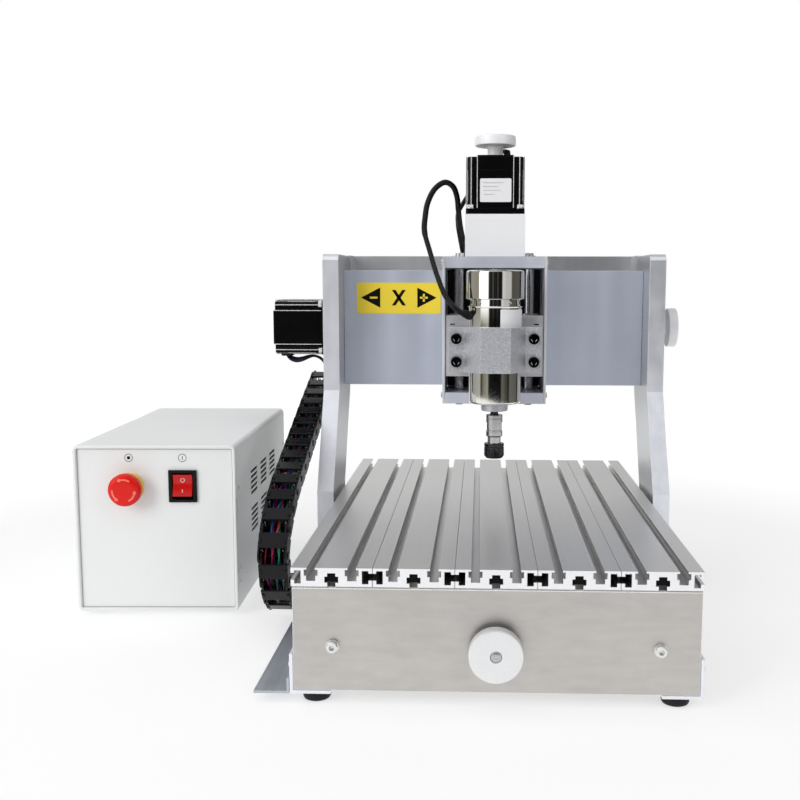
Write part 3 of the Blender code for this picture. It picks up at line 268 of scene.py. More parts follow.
# ---- Solids: each is (points, faces), in millimetres ----------------------------------------
def box(x, y, z):
    """A block from its ranges along X, Y and Z."""
    points = [(a, b, c) for c in z for b in y for a in x]
    return points, [(0, 2, 3, 1), (4, 5, 7, 6), (0, 1, 5, 4), (2, 6, 7, 3), (0, 4, 6, 2),
                    (1, 3, 7, 5)]


def span(side, near, far):
    """The range from near to far along +X, or its mirror image where side is -1."""
    return sorted((side * near, side * far))


def polar(radius, degrees):
    angle = math.radians(degrees)
    return radius * math.cos(angle), radius * math.sin(angle)


def circle(radius, height, steps):
    return [(*polar(radius, 360 * i / steps), height) for i in range(steps)]


def band(low, high, count):
    """The faces between two closed rows of points that start at indices low and high."""
    return [(low + k, low + (k + 1) % count, high + (k + 1) % count, high + k)
            for k in range(count)]


def caps(count, top):
    """The faces that close the first row of points and the one that starts at top."""
    return [tuple(range(count))[::-1], tuple(range(top, top + count))]


def prism(outline, low, high):
    """An outline in (u, v) made solid along w; its two ends are the first two faces."""
    count = len(outline)
    points = [(u, v, w) for w in (low, high) for u, v in outline]
    return points, caps(count, count) + band(0, count, count)


def lathe(profile, steps=64, ring=False):
    """A solid turned round +Z from (radius, height) points; a ring's profile is a loop."""
    points, rows = [], []
    for radius, height in profile:
        first = len(points)
        if radius < 1e-6:
            rows.append([first] * steps)
            points.append((0.0, 0.0, height))
        else:
            rows.append(list(range(first, first + steps)))
            points += circle(radius, height, steps)
    faces = []
    for low, high in zip(rows, rows[1:] + (rows[:1] if ring else [])):
        for i in range(steps):
            j = (i + 1) % steps
            face = tuple(dict.fromkeys((low[i], low[j], high[j], high[i])))
            if len(face) > 2:
                faces.append(face)
    if not ring:
        for row, way in ((rows[0], -1), (rows[-1], 1)):
            if row[0] != row[1]:
                faces.append(tuple(row[::way]))
    return points, faces


def rod(radius, low, high, steps=48, chamfer=0.5):
    """A round bar along +Z with chamfered ends."""
    return lathe([(radius - chamfer, low), (radius, low + chamfer), (radius, high - chamfer),
                  (radius - chamfer, high)], steps)


def thread(root, crest, pitch, low, high, steps=20):
    """A square-shouldered ridge wound round a bar."""
    section = [(root - 0.2, 0.18), (crest, 0.27), (crest, 0.73), (root - 0.2, 0.82)]
    count = int((high - low - pitch) / pitch * steps)
    points = [(*polar(radius, 360 * i / steps), low + pitch * (i / steps + share))
              for i in range(count + 1) for radius, share in section]
    faces = [face for i in range(count) for face in band(4 * i, 4 * i + 4, 4)]
    return points, faces + caps(4, 4 * count)


def socket_head(radius, height, hexagon, depth, steps=24, dome=0.6):
    """A screw head standing on z = 0, with a hexagon socket in its top."""
    points = (circle(radius, 0.0, steps) + circle(radius, height - dome, steps)
              + circle(radius - dome, height, steps) + circle(hexagon, height, 6)
              + circle(hexagon, height - depth, 6))
    rim, mouth, floor = 2 * steps, 3 * steps, 3 * steps + 6
    faces = [tuple(range(steps))[::-1]] + band(0, steps, steps) + band(steps, rim, steps)
    each = steps // 6
    for i in range(6):
        j = (i + 1) % 6
        edge = [rim + (each * i + k) % steps for k in range(each + 1)]
        faces.append((*edge, mouth + j, mouth + i))
        faces.append((mouth + i, mouth + j, floor + j, floor + i))
    return points, faces + [tuple(range(floor, floor + 6))]


def socket_glints(height, hexagon):
    """Painted highlights: bright marks round a socket, on two of its six sides, where glints would
    be.
    """
    parts = []
    for side in (3, 5):
        outline = [polar(hexagon * grow, 60 * corner) for grow, corner in (
            (1.02, side), (1.13, side), (1.13, side + 1), (1.02, side + 1))]
        parts.append(prism(outline, height - 0.05, height + 0.06))
    return parts


def tube(route, radius, sides=14):
    """A closed tube along a route; radius is one number, or one for each point."""
    route = [Vector(point) for point in route]
    radii = radius if isinstance(radius, list) else [radius] * len(route)
    points, faces = [], []
    side = None
    for i, point in enumerate(route):
        along = (route[min(i + 1, len(route) - 1)] - route[max(i - 1, 0)]).normalized()
        side = along.orthogonal() if side is None else side - along * side.dot(along)
        side.normalize()
        other = along.cross(side)
        points += [point + u * side + v * other for u, v, _ in circle(radii[i], 0.0, sides)]
    for i in range(len(route) - 1):
        faces += band(i * sides, (i + 1) * sides, sides)
    return points, faces + caps(sides, (len(route) - 1) * sides)


def smooth_route(points, steps):
    """Points on a Catmull-Rom curve through the given ones."""
    points = [Vector(point) for point in points]
    ends = [2 * points[0] - points[1]] + points + [2 * points[-1] - points[-2]]
    route = []
    for a, b, c, d in zip(ends, ends[1:], ends[2:], ends[3:]):
        for step in range(steps):
            t = step / steps
            route.append(0.5 * (2 * b + (c - a) * t + (2 * a - 5 * b + 4 * c - d) * t * t
                                + (3 * b - 3 * c + d - a) * t ** 3))
    return route + [points[-1]]


def loft(rings, closed=True):
    """A skin through rings with equal numbers of points; closed joins the last to the first."""
    count = len(rings[0])
    points = [point for ring in rings for point in ring]
    faces = []
    for i in range(len(rings) if closed else len(rings) - 1):
        faces += band(i * count, (i + 1) % len(rings) * count, count)
    return points, faces if closed else faces + caps(count, (len(rings) - 1) * count)


def rounded(low_u, high_u, low_v, high_v, radius, steps=6):
    """A rectangle's outline with rounded corners."""
    right, left, top, low = high_u - radius, low_u + radius, high_v - radius, low_v + radius
    points = []
    for turn, (u, v) in enumerate(((right, top), (left, top), (left, low), (right, low))):
        for step in range(steps + 1):
            du, dv = polar(radius, 90 * (turn + step / steps))
            points.append((u + du, v + dv))
    return points


def bar(u, v, wide, high):
    """A rectangle's outline from its middle and half sizes."""
    return [(u - wide, v - high), (u + wide, v - high), (u + wide, v + high), (u - wide, v + high)]


def at(x, y, z):
    return Matrix.Translation((x, y, z))


def aim(place, direction):
    """Moves a solid made on +Z to a place, with its +Z along a direction."""
    turn = Vector((0, 0, 1)).rotation_difference(Vector(direction))
    return at(*place) @ turn.to_matrix().to_4x4()


# ---- Pieces ---------------------------------------------------------------------------------
ON_CARRIAGE = ("x_carriage", "z_screw", "z_slide", "spindle_rotor")


def add_solid(bm, solid, place):
    """Adds a solid to a mesh, and gives its faces."""
    points, faces = solid
    made = [bm.verts.new((place @ Vector(point)) * MM) for point in points]
    return [bm.faces.new([made[corner] for corner in corners]) for corners in faces]


def new_object(name, bm):
    """Turns a finished mesh into an object of the scene."""
    bmesh.ops.recalc_face_normals(bm, faces=bm.faces)
    mesh = bpy.data.meshes.new(name)
    bm.to_mesh(mesh)
    bm.free()
    obj = bpy.data.objects.new(name, mesh)
    bpy.context.scene.collection.objects.link(obj)
    return obj


def piece(name, body, parts, base=None, bevel=0.0, replaces=(), slot=None, cuts=(),
          blend=None):
    """One object from (solid, material, place) parts, riding on a body. A part's fourth entry
    is another material for its first two faces."""
    bm = bmesh.new()
    slots = []
    for part in parts:
        solid, mat = part[:2]
        place = part[2] if len(part) > 2 else Matrix()
        ends = part[3] if len(part) > 3 else mat
        for each in (mat, ends):
            if each not in slots:
                slots.append(each)
        for index, face in enumerate(add_solid(bm, solid, place)):
            face.material_index = slots.index(ends if index < 2 else mat)
    obj = new_object(name, bm)
    for mat in slots:
        obj.data.materials.append(mat)
    if cuts:
        carve(obj, cuts)
    soften(obj, bevel)
    obj.matrix_world = base or (CARRIAGE if body in ON_CARRIAGE else MACHINE)
    if blend:
        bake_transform(obj)
    else:
        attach(obj, body)
    if replaces:
        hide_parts(*replaces)


def carve(obj, solids):
    """Cuts (solid, place) pairs from a piece for good."""
    bm = bmesh.new()
    for solid, place in solids:
        add_solid(bm, solid, place)
    cutter = new_object("cutter", bm)
    modifier = obj.modifiers.new("cut", "BOOLEAN")
    modifier.operation = "DIFFERENCE"
    modifier.object = cutter
    modifier.solver = "EXACT"
    graph = bpy.context.evaluated_depsgraph_get()
    result = bpy.data.meshes.new_from_object(obj.evaluated_get(graph))
    obj.modifiers.clear()
    obj.data = result
    bpy.data.objects.remove(cutter, do_unlink=True)


def soften(obj, bevel):
    """Smooth shading with sharp edges kept, and a small round on every sharp edge."""
    obj.data.shade_smooth()
    obj.data.set_sharp_from_angle(angle=math.radians(32))
    if bevel:
        round_edges(obj, bevel)
    weighted = obj.modifiers.new("shading", "WEIGHTED_NORMAL")
    weighted.keep_sharp = True


def round_edges(obj, width):
    """A small round on every sharp edge."""
    modifier = obj.modifiers.new("edge", "BEVEL")
    modifier.width = width * MM
    modifier.segments = 2
    modifier.limit_method = "ANGLE"
    modifier.angle_limit = math.radians(38)
    modifier.harden_normals = True
    return modifier


def dress(nodes, mat, bevel=0.0, edge=None):
    """Gives kept CAD nodes their material and rounds their edges, brighter where edge is set: the
    edge material on the rounds is a painted highlight.
    """
    for node in nodes:
        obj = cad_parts[node]
        obj.data.materials.clear()
        obj.data.materials.append(mat)
        if edge:
            obj.data.materials.append(edge)
        if bevel:
            weld = obj.modifiers.new("weld", "WELD")
            weld.merge_threshold = 0.00001
            modifier = round_edges(obj, bevel)
            if edge:
                modifier.material = 1


def heads(name, body, places, direction, radius, height, mat=ZINC, base=None):
    """A set of socket head screws that look the same way."""
    solids = [(socket_head(radius, height, radius * 0.5, height * 0.55), mat)]
    # Black screws get painted highlights by their sockets.
    if mat is BLACK_STEEL:
        solids += [(rim, EDGE) for rim in socket_glints(height, radius * 0.5)]
    piece(name, body, [(solid, metal, aim(place, direction))
                       for solid, metal in solids for place in places], base)


def bearing_rings(name, body, profile, places, steps=48):
    """The same steel ring at each place."""
    piece(name, body, [(lathe(profile, steps, True), STEEL, place) for place in places])


# ---- Base, table and Y axis -----------------------------------------------------------------
def table_section(middle):
    """One extrusion across the table: a T-slot on top, grooves at the sides, a bore below."""
    side, lip, cavity, slot, top = 29.85, 27.1, 22.45, 15.0, 14.0
    half = [(2.95, 0), (side, 0), (side, 5.0), (lip, 5.0), (lip, 2.2), (cavity, 2.2),
            (cavity, 11.9), (lip, 11.9), (lip, 10.0), (side, 10.0), (side, top),
            (slot + 3, top), (slot + 3, 12.5), (slot + 5, 12.5), (slot + 5, 8.1),
            (slot + 3.3, 8.1), (slot + 3.3, 4.3), (slot - 3.3, 4.3), (slot - 3.3, 8.1),
            (slot - 5, 8.1), (slot - 5, 12.5), (slot - 3, 12.5), (slot - 3, top)]
    below = [(-2.95, 0), (-2.95, 3.1), (-5, 3.1), (-5, 7.5), (-2.95, 7.5), (-2.95, 10),
             (2.95, 10), (2.95, 7.5), (5, 7.5), (5, 3.1), (2.95, 3.1)]
    section = half + [(-u, v) for u, v in reversed(half)] + below
    return [(middle + u, 89.0 + v) for u, v in section]


def make_base():
    """The table, end plates, side angles, chain tray and feet."""
    for i in range(5):
        middle = (i - 2) * 60.0
        piece(f"table_extrusion_{i + 1}", "base",
              [(prism(table_section(middle), 0.0, TABLE_LONG), EXTRUDED, XZ_Y, SAWN)], bevel=0.22,
              replaces=[f"table_profile_{i + 1}"], slot="anodised_aluminium")
        # Dark plugs set a little way into each extrusion's bore at both ends: painted shade, so
        # the bores read dark.
        bore_shade_outline = [(-4.8, 92.3), (4.8, 92.3), (4.8, 96.3), (2.75, 96.3), (2.75, 98.8),
                (-2.75, 98.8), (-2.75, 96.3), (-4.8, 96.3)]
        piece(f"table_bore_shade_{i + 1}", "base",
              [(prism([(middle + u, v) for u, v in bore_shade_outline], low, high), PAINTED_SHADE, XZ_Y)
               for low, high in ((2.0, 5.0), (445.0, 448.0))])
    dress(["base_front_plate", "base_rear_plate"], PLATE, 0.3, EDGE)
    dress(["side_angle_left", "side_angle_right"], FRAME, 0.4)
    dress(["chain_tray"], TRAY, 0.3)
    dress(["y_screw_housing"], MILLED, 0.5)
    for word, side in SIDES:
        heads(f"angle_screws_{word}", "base", [(side * 152, y, 27) for y in (10, 225, 440)],
              (side, 0, 0), 3.4, 2.0)
    heads("housing_screws", "base", [(x, 399.9, z) for x in (-19, 19) for z in (24, 58)],
          (0, -1, 0), 3.4, 2.6)
    heads("rear_plate_screws", "base", [(x, TABLE_LONG, z) for x in (-128, 128) for z in (22, 76)],
          (0, 1, 0), 3.8, 2.4)
    foot = lathe([(0, 0.4), (7.5, 0.4), (8.6, 0.0), (9.6, 0.5), (10.3, 1.6), (10.5, 3.0),
                  (10.2, 4.6), (10.2, 5.2), (10.5, 5.6), (10.5, 7.0), (0, 7.0)], 48)
    for row, y in (("front", 12.5), ("rear", 437.5)):
        for word, side in SIDES:
            piece(f"rubber_foot_{row}_{word}", "base", [(foot, RUBBER, at(side * 133.5, y, 0.0))],
                  replaces=[f"foot_{row}_{word}"], slot="black_rubber")


def make_y_axis():
    """The table's guide rods with their end screws, its lead screw, handwheel and motor."""
    for word, side in SIDES:
        x = side * Y_ROD_X
        parts = [(rod(8.0, 15.3, 434.7), STEEL, aim((x, 0, Y_ROD_Z), (0, 1, 0)))]
        for y, way in ((-0.3, -1), (450.3, 1)):
            parts.append((lathe([(0, 0), (5.0, 0), (5.0, 0.9), (0, 0.9)], 32), ZINC,
                          aim((x, y, Y_ROD_Z), (0, way, 0))))
            parts.append((socket_head(4.35, 4.1, 2.3, 2.6), ZINC,
                          aim((x, y + way * 0.9, Y_ROD_Z), (0, way, 0))))
        piece(f"y_guide_{word}", "base", parts, replaces=[f"y_rod_{word}"], slot="bright_steel")
    lead_screw("y_lead_screw", "y_screw", (0, 0, Y_SCREW_Z), (0, 1, 0), "y_screw",
               [(4.0, -15.0, 10.0), (6.0, 10.0, 399.0), (4.0, 399.0, 409.0), (3.2, 433.5, 470.0)],
               (12.0, 398.0), 6.0, (409.0, 433.5))
    handwheel("y_handwheel_rim", "y_screw", (0, -0.3, Y_SCREW_Z), (0, -1, 0), 5.2, "y_handwheel",
              4.3)
    stepper("y_stepper", "base", aim((0, 450.3, Y_SCREW_Z), (0, 1, 0)), "y_motor")


def lead_screw(name, body, start, direction, node, bars, threaded, crest, coupling):
    """A screw with its thread, journals and the slit coupling that joins it to its motor."""
    place = aim(start, direction)
    parts = []
    for radius, low, high in bars:
        core = radius - 0.9 if radius >= 5 else radius
        parts.append((rod(core, low, high, 32, 0.3), STEEL, place))
    parts.append((thread(crest - 0.9, crest, 4.0, *threaded), STEEL, place))
    low, high = coupling
    bore, wide, slit_depth = 3, 9.5, 3.5
    profile = [(bore, low), (wide - 0.6, low), (wide, low + 0.6)]
    for slit in range(5):
        z = low + 8.0 + slit * 1.8
        profile += [(wide, z), (wide - slit_depth, z), (wide - slit_depth, z + 0.7),
                    (wide, z + 0.7)]
    profile += [(wide, high - 0.6), (wide - 0.6, high), (bore, high)]
    parts.append((lathe(profile, 40), TURNED, place))
    piece(name, body, parts, replaces=[node], slot="bright_steel")


def handwheel(name, body, start, direction, hub, node, bore, metal=TURNED):
    """A turned wheel with rounded edges, its hub, the shaft's end and two set screws."""
    place = aim(start, direction)
    high = hub + 9.5
    end = bore - 1.0
    wheel = [(bore, 0.0), (7.1, 0.0), (7.5, 0.4), (7.5, hub), (18.7, hub), (19.6, hub + 0.4),
             (20.0, hub + 1.3), (20.0, high - 1.3), (19.6, high - 0.4), (18.7, high),
             (bore + 0.2, high), (bore, high - 0.2)]
    shaft = [(0, high - 1.2), (end, high - 1.2), (end, high + 0.1), (end - 0.7, high + 0.35),
             (0.9, high + 0.35), (0.9, high - 0.5), (0, high - 0.5)]
    # A dark ring in the bore round the shaft's end: painted shade in the gap.
    gap = [(end + 0.05, high - 0.4), (end + 0.5, high - 0.4), (end + 0.5, high - 0.05),
           (end + 0.05, high - 0.05)]
    parts = [(lathe(wheel, 96, True), metal, place), (lathe(shaft, 32), TOOL_STEEL, place),
             (lathe(gap, 32, True), PAINTED_SHADE, place)]
    for degrees in (40, 140):
        out = (*polar(1, degrees), 0)
        parts.append((socket_head(1.9, 0.7, 1.0, 0.6, 12, 0.2), BLACK_STEEL,
                      place @ aim((*polar(7.1, degrees), hub / 2), out)))
    piece(name, body, parts, replaces=[node], slot="milled_aluminium")


# ---- Motors ---------------------------------------------------------------------------------
def motor_faces(grow=0.0):
    """A stepper's section: four proud faces with steps between them and rounded corners."""
    half, face = 28.2 + grow, 17.5 + grow
    low = half - 1.5
    quarter = [(half, face), (low, face), *rounded(-low, low, -low, low, 3.2, 3)[:4],
               (face, low), (face, half)]
    section = []
    for _ in range(4):
        section += quarter
        quarter = [(-v, u) for u, v in quarter]
    return section


def stepper(name, body, place, node, reach=23.5, sticker=None):
    """A stepper motor on +Z from its flange: bells, laminated stack, cap, bare edges, and the
    nuts reach mm from its middle both ways. A sticker is its outline and its place."""
    half, end = 28.2, 53.5
    parts = [(solid, BLACK_PAINT, place) for solid in (
        prism(rounded(-half, half, -half, half, 2.5), 0.0, 5.0),
        prism(motor_faces(), 5.0, 12.5), prism(motor_faces(-0.35), 12.5, 41.0),
        prism(motor_faces(), 41.0, end),
        prism(rounded(-17.4, 17.4, -28.1, 28.1, 1.5), 53.0, 55.0))]
    edges = []
    for turn in range(4):
        spin = place @ Matrix.Rotation(math.pi / 2 * turn, 4, "Z")
        for side in (-1, 1):
            edges.append((box(span(side, 16.9, 17.65), (27.3, 28.32), (5.4, 54.6)), BARE_EDGE,
                          spin))
            edges.append((box(span(side, 22.6, 23.5), (26.0, 26.85), (5.4, 53.2)), BARE_EDGE,
                          spin))
    nuts = []
    for u in (-reach, reach):
        for v in (-reach, reach):
            spot = place @ at(u, v, 0)
            nuts += [(lathe([(0, 5.0), (4.4, 5.0), (4.4, 5.9), (0, 5.9)], 24), ZINC, spot),
                     (prism([polar(4.3, 60 * k) for k in range(6)], 5.9, 8.6), EDGE, spot),
                     (rod(1.9, 8.0, 17.0, 20, 0.4), EDGE, spot)]
    piece(name, body, parts, bevel=0.3, replaces=[node], slot="black_enamel")
    piece(name + "_bare_edges", body, edges, bevel=0.12)
    piece(name + "_nuts", body, nuts)
    if sticker:
        outline, turn = sticker
        label_place = place @ turn
        lines = [(prism(outline, 0.0, 0.25), PAPER, label_place)]
        start = min(u for u, _ in outline) + 3
        top = max(v for _, v in outline) - 4.0
        for row, length in enumerate((20, 14, 16, 11)):
            v = top - row * 3.6
            lines.append((box((start, start + length), (v - 0.35, v + 0.35), (0.2, 0.3)), SHEET,
                          label_place))
        piece(name + "_sticker", body, lines)


# ---- Gantry ---------------------------------------------------------------------------------
def make_gantry():
    """The gantry's plates with their screws, and all of the X axis but the carriage."""
    dress(["gantry_side_left"], LEG, 0.4, EDGE)
    dress(["gantry_side_right"], LEG_RIGHT_SHADE_COPY, 0.4, EDGE)
    dress(["gantry_base_plate"], PLATE, 0.5)
    dress(["y_bearing_left", "y_bearing_right", "y_nut_block"], MILLED, 0.6)
    dress(["gantry_front_panel"], PANEL, 0.4, EDGE)
    dress(["gantry_rear_cover"], SHEET, 0.5)
    rods = [(X_ROD_Y, z) for z in X_ROD_Z]
    plates = [(330, 214), (330, 311), (262, 71), (301, 71)]
    # The motor hides the rods' screws on the left.
    for (word, side), spots in zip(SIDES, (plates, rods + plates)):
        heads(f"gantry_side_screws_{word}", "gantry", [(side * 170, y, z) for y, z in spots],
              (side, 0, 0), 4.6, 2.6)
    heads("rear_cover_screws", "gantry",
          [(x, 401.9, z) for x in (-160, 0, 160) for z in (214, 313)], (0, 1, 0), 3.2, 1.8)
    heads("gantry_base_screws", "gantry",
          [(x + dx, LEG_Y + dy, 76) for x in (-Y_ROD_X, Y_ROD_X) for dx in (-17, 17)
           for dy in (-15, 15)], (0, 0, 1), 3.6, 2.4)
    bearing_rings("y_bearing_rings", "gantry",
                  [(8.3, 0), (13, 0), (13, 1.6), (12, 2.2), (8.3, 2.2)],
                  [aim((x, LEG_Y + way * 22.5, Y_ROD_Z), (0, way, 0))
                   for x in (-Y_ROD_X, Y_ROD_X) for way in (-1, 1)])
    for word, z in zip(("lower", "upper"), X_ROD_Z):
        piece(f"x_guide_{word}", "gantry",
              [(rod(6.0, -153.7, 153.7), STEEL, aim((0, X_ROD_Y, z), (1, 0, 0)))],
              replaces=[f"x_rod_{word}"], slot="bright_steel")
    lead_screw("x_lead_screw", "x_screw", (0, X_SCREW_Y, X_SCREW_Z), (1, 0, 0), "x_screw",
               [(4.0, 152.5, 190.5), (6.0, -149.8, 152.5), (3.2, -195.0, -169.4)],
               (-148.0, 152.0), 6.0, (-169.4, -150.0))
    handwheel("x_handwheel_rim", "x_screw", (170.3, X_SCREW_Y, X_SCREW_Z), (1, 0, 0), 10.7,
              "x_handwheel", 4.3, PALE)
    stepper("x_stepper", "gantry", aim((-170.3, X_SCREW_Y, X_SCREW_Z), (-1, 0, 0)), "x_motor")


def make_axis_label():
    """The yellow axis label: minus and plus in arrowheads, and the axis letter."""
    middle, arrow = 294.0, 20.0
    left, right, cross = -136.2, -57.8, -96.9

    def patch(outline, proud, mat):
        return prism(outline, PANEL_Y - proud, PANEL_Y - 0.1), mat, XZ_Y

    parts = [(prism(rounded(-140.4, -53.5, 277.7, 309.4, 2.2), PANEL_Y - 0.28, PANEL_Y), LABEL,
              XZ_Y)]
    for tip, way in ((left, 1), (right, -1)):
        back = tip + way * arrow
        centre = back - way * arrow * 0.34
        parts.append(patch([(tip, middle), (back, middle + 10.4), (back, middle - 10.4)], 0.36,
                           INK))
        parts.append(patch(bar(centre, middle, 4, 1), 0.42, LABEL))
    parts.append(patch(bar(right - arrow * 0.66, middle, 1, 4), 0.42, LABEL))
    for way in (-1, 1):
        parts.append(patch([(cross - way * 7.3, middle - 8.0), (cross - way * 3.5, middle - 8.0),
                            (cross + way * 7.3, middle + 8.0),
                            (cross + way * 3.5, middle + 8.0)], 0.36, INK))
    piece("axis_label", "gantry", parts)


# ---- X carriage, Z axis and spindle ---------------------------------------------------------
def make_z_axis():
    """The X carriage, and all of the Z axis but the spindle."""
    piece("z_frame_sides", "x_carriage",
          [(box(span(side, 47.5, 50), (254, 324), (193, 334.2)), FRAME) for _, side in SIDES],
          bevel=0.35, replaces=["z_frame_channel"], slot="milled_aluminium")
    piece("z_frame_back", "x_carriage",
          [(box((-47.4, 47.4), (321.5, 323.9), (203.9, 323.2)), BLACK_ANODISED)], bevel=0.3)
    dress(["x_carriage_block"], MILLED, 0.6)
    dress(["z_top_plate", "z_bottom_plate"], SATIN, 0.4, EDGE)
    dress(["z_coupler_box"], PALE, 0.5)
    dress(["z_slide_block"], SLIDE, 0.4, EDGE)
    dress(["spindle_clamp"], CAST, 0.6, EDGE)
    for word, side in SIDES:
        x = side * Z_ROD_X
        heads(f"z_frame_screws_{word}", "x_carriage",
              [(side * 50, y, z) for y in (264, 300) for z in (200.5, 328.8)], (side, 0, 0),
              2.9, 1.7)
        rod_parts = [(rod(5.0, 204.0, 323.2), STEEL, at(x, Z_AXIS_Y, 0)),
                     (lathe([(0, 0), (5.0, 0), (5.0, 0.8), (0, 0.8)], 32), ZINC,
                      at(x, Z_AXIS_Y, 334.3)),
                     (socket_head(4.3, 3.6, 2.2, 2.2), ZINC, at(x, Z_AXIS_Y, 335.0)),
                     (socket_head(4.2, 4.8, 2.2, 2.0), BLACK_STEEL,
                      aim((x, Z_AXIS_Y, 193.0), (0, 0, -1)))]
        piece(f"z_guide_{word}", "x_carriage", rod_parts, replaces=[f"z_rod_{word}"],
              slot="bright_steel")
    bearing_rings("z_bearing_rings", "z_slide",
                  [(5.3, 0), (9.6, 0), (9.6, 0.9), (9.0, 1.5), (5.3, 1.5)],
                  [at(side * Z_ROD_X, Z_AXIS_Y, z) for _, side in SIDES for z in (278.0, 219.4)],
                  40)
    bearing_rings("x_bearing_rings", "x_carriage",
                  [(6.3, 0), (11, 0), (11, 1.4), (10.2, 2.2), (6.3, 2.2)],
                  [aim((side * 45, X_ROD_Y, z), (side, 0, 0)) for _, side in SIDES
                   for z in X_ROD_Z])
    heads("x_carriage_screws", "x_carriage",
          [(x, 364, z) for x in (-34, 34) for z in (214, 248, 279, 313)], (0, 1, 0), 3.6, 2.2)
    lead_screw("z_lead_screw", "z_screw", (0, Z_AXIS_Y, 0), (0, 0, 1), "z_screw",
               [(4.0, 194.0, 204.0), (5.0, 204.0, 323.2), (4.0, 323.2, 340.0),
                (3.2, 365.5, 451.0)], (205.0, 322.0), 5.0, (340.0, 365.5))
    # The Z wheel is drawn in the paler metal, not the Y wheel's turned aluminium, to make up for
    # the shade it gets: painted light.
    handwheel("z_handwheel_rim", "z_screw", (0, Z_AXIS_Y, 430.3), (0, 0, 1), 11.2, "z_handwheel",
              3.5, PALE)
    front = Matrix(((1, 0, 0, 0), (0, 0, -1, -28.2), (0, 1, 0, 0), (0, 0, 0, 1)))
    stepper("z_stepper", "x_carriage", at(0, Z_AXIS_Y, 375.0), "z_motor", 23.4,
            (rounded(-14.6, 15.2, 10.9, 33.0, 1.4), front))
    # Two thin dark patches on the slide's face stand for its slots: painted shade.
    piece("slide_slot_shades", "z_slide",
          [(box((x - 2.2, x + 2.2), (255.8, 256.4), (268.9, 270.3)), PAINTED_SHADE)
           for x in (-40.3, 40.3)])
    heads("clamp_screws", "z_slide",
          [(side * 35.4, 208, z) for _, side in SIDES for z in (237.4, 258.6)], (0, -1, 0),
          5.0, 5.0, BLACK_STEEL)
    heads("coupler_box_screws", "x_carriage",
          [(x, y, 335.0) for x in (-39.5, 39.5) for y in (330, 356)], (0, 0, 1), 3.6, 2.2)


def make_spindle():
    """The spindle's chromed body with its sticker, and the shaft, chuck and nut that turn."""
    axis = at(0, SPINDLE_Y, 0)
    body = [(0, 197.6), (22.4, 197.9), (23.9, 198.6), (24.7, 200.2), (24.7, 286.6),
            (25.3, 286.9), (25.5, 287.6), (25.3, 288.2), (23.6, 288.4), (23.2, 294.0),
            (26.6, 294.3), (27.2, 295.0), (27.2, 318.0), (26.7, 319.8), (25.6, 320.7),
            (23.9, 321.0), (10.0, 321.0), (9.4, 319.8), (0, 319.8)]
    boss = [(0, 195.8), (4.7, 195.8), (4.7, 190.8), (12.0, 190.8), (12.6, 191.4),
            (12.6, 196.6), (13.6, 197.4), (13.6, 197.9), (0, 197.9)]
    vent = lathe([(0, 21.0), (1.5, 21.0), (1.5, 30.0), (0, 30.0)], 16)
    piece("spindle_shell", "z_slide",
          [(lathe(body, 96), CHROME, axis), (lathe(boss, 64), CAST, axis)],
          cuts=[(vent, aim((0, SPINDLE_Y, 291.2), (*polar(1, 36 * i + 18), 0)))
                for i in range(10)],
          replaces=["spindle_body"], slot="chrome")
    corners = ((24.74, 267.0), (24.74, 285.2), (24.9, 285.2), (24.9, 267.0))
    label = [[(*polar(radius, 84.5 * k / 16 - 79.5), z) for radius, z in corners]
             for k in range(17)]
    piece("spindle_sticker", "z_slide", [(loft(label, closed=False), PAPER, axis)])
    chuck = [(0, 180), (4.0, 180), (4.0, 187), (7.4, 187), (8.0, 186.4), (8.0, 184.0),
             (7.7, 183.7), (7.7, 183.2), (8.0, 182.9), (8.0, 172.8), (7.6, 172.4),
             (7.6, 171.6), (8.0, 171.2), (8.0, 167.4), (7.3, 166.4), (6.4, 166.0),
             (6.4, 148.9), (3.5, 148.9), (3.5, 158.0), (0, 158.0)]
    shaft = [(0, 180.2), (3.9, 180.2), (3.9, 188.2), (3.5, 188.5), (3.5, 189.1),
             (3.9, 189.4), (3.9, 195.3), (0, 195.3)]
    piece("collet_chuck", "spindle_rotor",
          [(lathe(chuck, 64), TOOL_STEEL, axis), (lathe(shaft, 48), BLACK_STEEL, axis)],
          cuts=[(box(flat, (-4, 4), (172, 180)), axis) for flat in ((6.9, 9), (-9, -6.9))],
          replaces=["collet_holder"], slot="bright_steel")
    notch = lathe([(0, 145.0), (1.1, 145.0), (1.1, 154.5), (0.5, 155.6), (0, 155.6)], 12)
    nut = [(4.0, 146.1), (7.6, 146.1), (8.9, 147.6), (9.5, 149.0), (9.5, 155.8), (9.1, 156.4),
           (9.1, 157.0), (9.5, 157.5), (9.5, 159.3), (8.8, 160.1), (6.7, 160.1), (6.7, 148.6),
           (4.0, 148.6)]
    piece("collet_cap", "spindle_rotor", [(lathe(nut, 64, True), BLACK_STEEL, axis)],
          cuts=[(notch, axis @ at(*polar(10.0, 30 * i), 0)) for i in range(12)],
          replaces=["collet_nut"], slot="black_steel")


